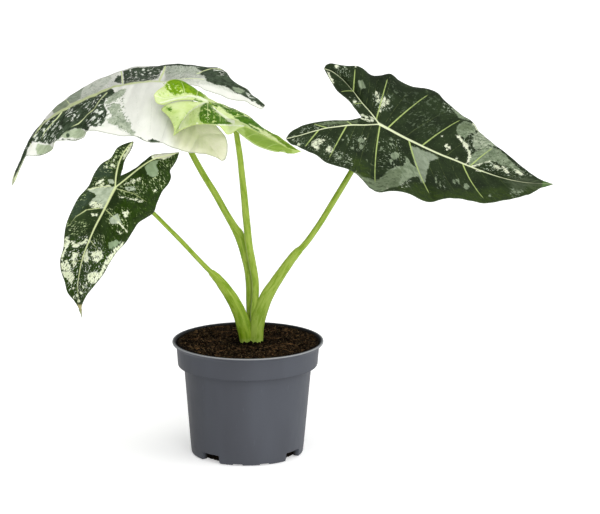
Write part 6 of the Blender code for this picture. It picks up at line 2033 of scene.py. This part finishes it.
def petiole_material():
    s = Shade("petiole_skin")
    grain = s.attribute("grain", vector=True)
    streaks = s.noise(s.stretch(grain, (0.10, 2.4, 1.0)), 1.0, 4.0, 0.65)
    clouds = s.noise(s.stretch(grain, (0.16, 0.8, 1.0), (4, 2, 0)), 1.0, 3.0, 0.6)
    fine = s.noise(s.stretch(grain, (0.5, 7.0, 1.0), (1, 7, 0)), 1.0, 3.0, 0.6)
    colour = s.mix(s.step(streaks, 0.38, 0.62), srgb(124, 152, 34), srgb(152, 173, 70))
    colour = s.mix(s.step(clouds, 0.48, 0.62, 0.0, 0.8), colour, srgb(106, 138, 8))
    colour = s.mix(s.step(fine, 0.54, 0.66, 0.0, 0.6), colour, srgb(158, 176, 88))
    low = s.attribute("height")
    foot = s.step(low, 68.0, 44.0, 0.0, 0.85)
    patch = s.mix(s.step(clouds, 0.40, 0.58), srgb(120, 147, 26), srgb(94, 126, 0))
    patch = s.mix(s.step(s.noise(s.stretch(grain, (0.9, 1.6, 1.0), (3, 5, 0)), 1.0, 4.0, 0.7), 0.52, 0.64, 0.0, 0.6),
                  patch, srgb(140, 162, 60))
    colour = s.mix(s.math("MULTIPLY", foot, s.step(streaks, 0.2, 0.5)), colour, patch)
    colour = s.mix(s.math("MULTIPLY", s.attribute("pale"), s.step(clouds, 0.62, 0.38, 0.3, 1.0)), colour, srgb(150, 172, 78))
    pale = s.step(low, 46.2, 44.0, 0.0, 0.45)
    colour = s.mix(pale, colour, srgb(158, 178, 92))
    colour = s.mix(s.math("MULTIPLY", s.attribute("flap"), 0.55), colour, srgb(98, 136, 24))
    s.set(Base_Color=colour, Roughness=0.38, Normal=s.bump(s.math("ADD", streaks, s.math("MULTIPLY", fine, 0.4)), 0.35, 0.0003))
    s.set(Specular_IOR_Level=0.14)
    return s.made


# ------------------------------------------------------------------ the stage
def distant_light(name, towards, strength, spread, colour=(1, 1, 1)):
    light = bpy.data.lights.new(name, "SUN")
    light.energy = strength
    light.angle = math.radians(spread)
    light.color = colour
    made = bpy.data.objects.new(name, light)
    made.location = Vector(towards).normalized() * 2.0
    made.rotation_euler = (-Vector(towards)).to_track_quat("-Z", "Y").to_euler()
    bpy.context.scene.collection.objects.link(made)
    return made


def stage():
    scene = bpy.context.scene
    scene.view_settings.view_transform = "Standard"
    scene.view_settings.look = "None"
    scene.view_settings.exposure = 0.0
    scene.view_settings.gamma = 1.0

    eye, _, _, _ = standing_point()
    lens = bpy.data.cameras.new("camera")
    lens.sensor_width = 36.0
    lens.lens = 36.0 * DISTANCE / SCALE / 600.0
    lens.clip_start, lens.clip_end = 0.05, 20.0
    camera = bpy.data.objects.new("camera", lens)
    camera.location = Vector(eye) * 0.001
    camera.rotation_euler = (math.pi / 2 - TILT, 0.0, 0.0)
    scene.collection.objects.link(camera)
    scene.camera = camera

    world = bpy.data.worlds.new("studio")
    scene.world = world
    world.use_nodes = True
    nodes, links = world.node_tree.nodes, world.node_tree.links
    shine = nodes["Background"]
    shine.inputs["Color"].default_value = (1.0, 1.0, 1.0, 1)
    split = nodes.new("ShaderNodeSeparateXYZ")
    spread = nodes.new("ShaderNodeMapRange")
    links.new(nodes.new("ShaderNodeTexCoord").outputs["Generated"], split.inputs[0])
    links.new(split.outputs["X"], spread.inputs["Value"])
    links.new(spread.outputs["Result"], shine.inputs["Strength"])
    for name, value in (("From Min", -1.0), ("From Max", 1.0), ("To Min", 0.05), ("To Max", 0.76)):
        spread.inputs[name].default_value = value
    distant_light("key", (0.22, -1.0, 0.26), 1.28, 38.0, (1.0, 0.998, 0.99))
    distant_light("top", (0.0, -0.25, 1.0), 0.95, 60.0)
    distant_light("side", (1.0, -0.3, 0.4), 0.50, 50.0)

    mesh = bpy.data.meshes.new("floor")
    mesh.from_pydata([(-6, -6, 0), (6, -6, 0), (6, 8, 0), (-6, 8, 0)], [], [(0, 1, 2, 3)])
    floor = bpy.data.objects.new("floor", mesh)
    floor.location.z = -0.0002
    scene.collection.objects.link(floor)
    s = Shade("floor_white")
    s.set(Base_Color=(0.97, 0.97, 0.97), Roughness=0.9, Specular_IOR_Level=0.0,
          Emission_Color=(1.0, 1.0, 1.0), Emission_Strength=0.42)
    mesh.materials.append(s.made)


# ------------------------------------------------------------------ the plant
def main():
    stage()
    make_pot(pot_material())
    make_soil(soil_material("soil_peat", None))
    crumbs = soil_material("soil_crumb", (88, 68, 46))
    make_crumbs(crumbs)
    make_notch_shade_ring(crumbs)
    make_fibres(soil_material("soil_fibre", (140, 104, 70)))
    make_corm(corm_material())

    tops = {}
    for name, blade, patterns, finish, slot_name, node, options in leaves():
        place, up, count = make_blade(name, blade, patterns, finish, slot_name, node, **options)
        tops[node] = (place, up)
        print(name, count, "triangles")

    stalk = petiole_material()
    stalks = (
        ("petiole_of_large_leaf", "petiole_large_leaf", "blade_large_leaf", (234, -1), 1.0, 0.1),
        ("petiole_of_young_leaf", "petiole_young_leaf", "blade_young_leaf", (296, -1), 2.0, 0.45),
        ("petiole_of_right_leaf", "petiole_right_leaf", "blade_right_leaf", (250.5, -1), 3.0, 0.6),
        ("petiole_of_hanging_leaf", "petiole_hanging_leaf", "blade_hanging_leaf", (273.5, 1), 4.0, 0.0),
    )
    for name, node, blade_node, sheath, seed, pale in stalks:
        place, up = tops[blade_node]
        top = place - up * 0.30
        make_petiole(name, node, PETIOLES[node], top, up, stalk, sheath, seed, pale)


main()
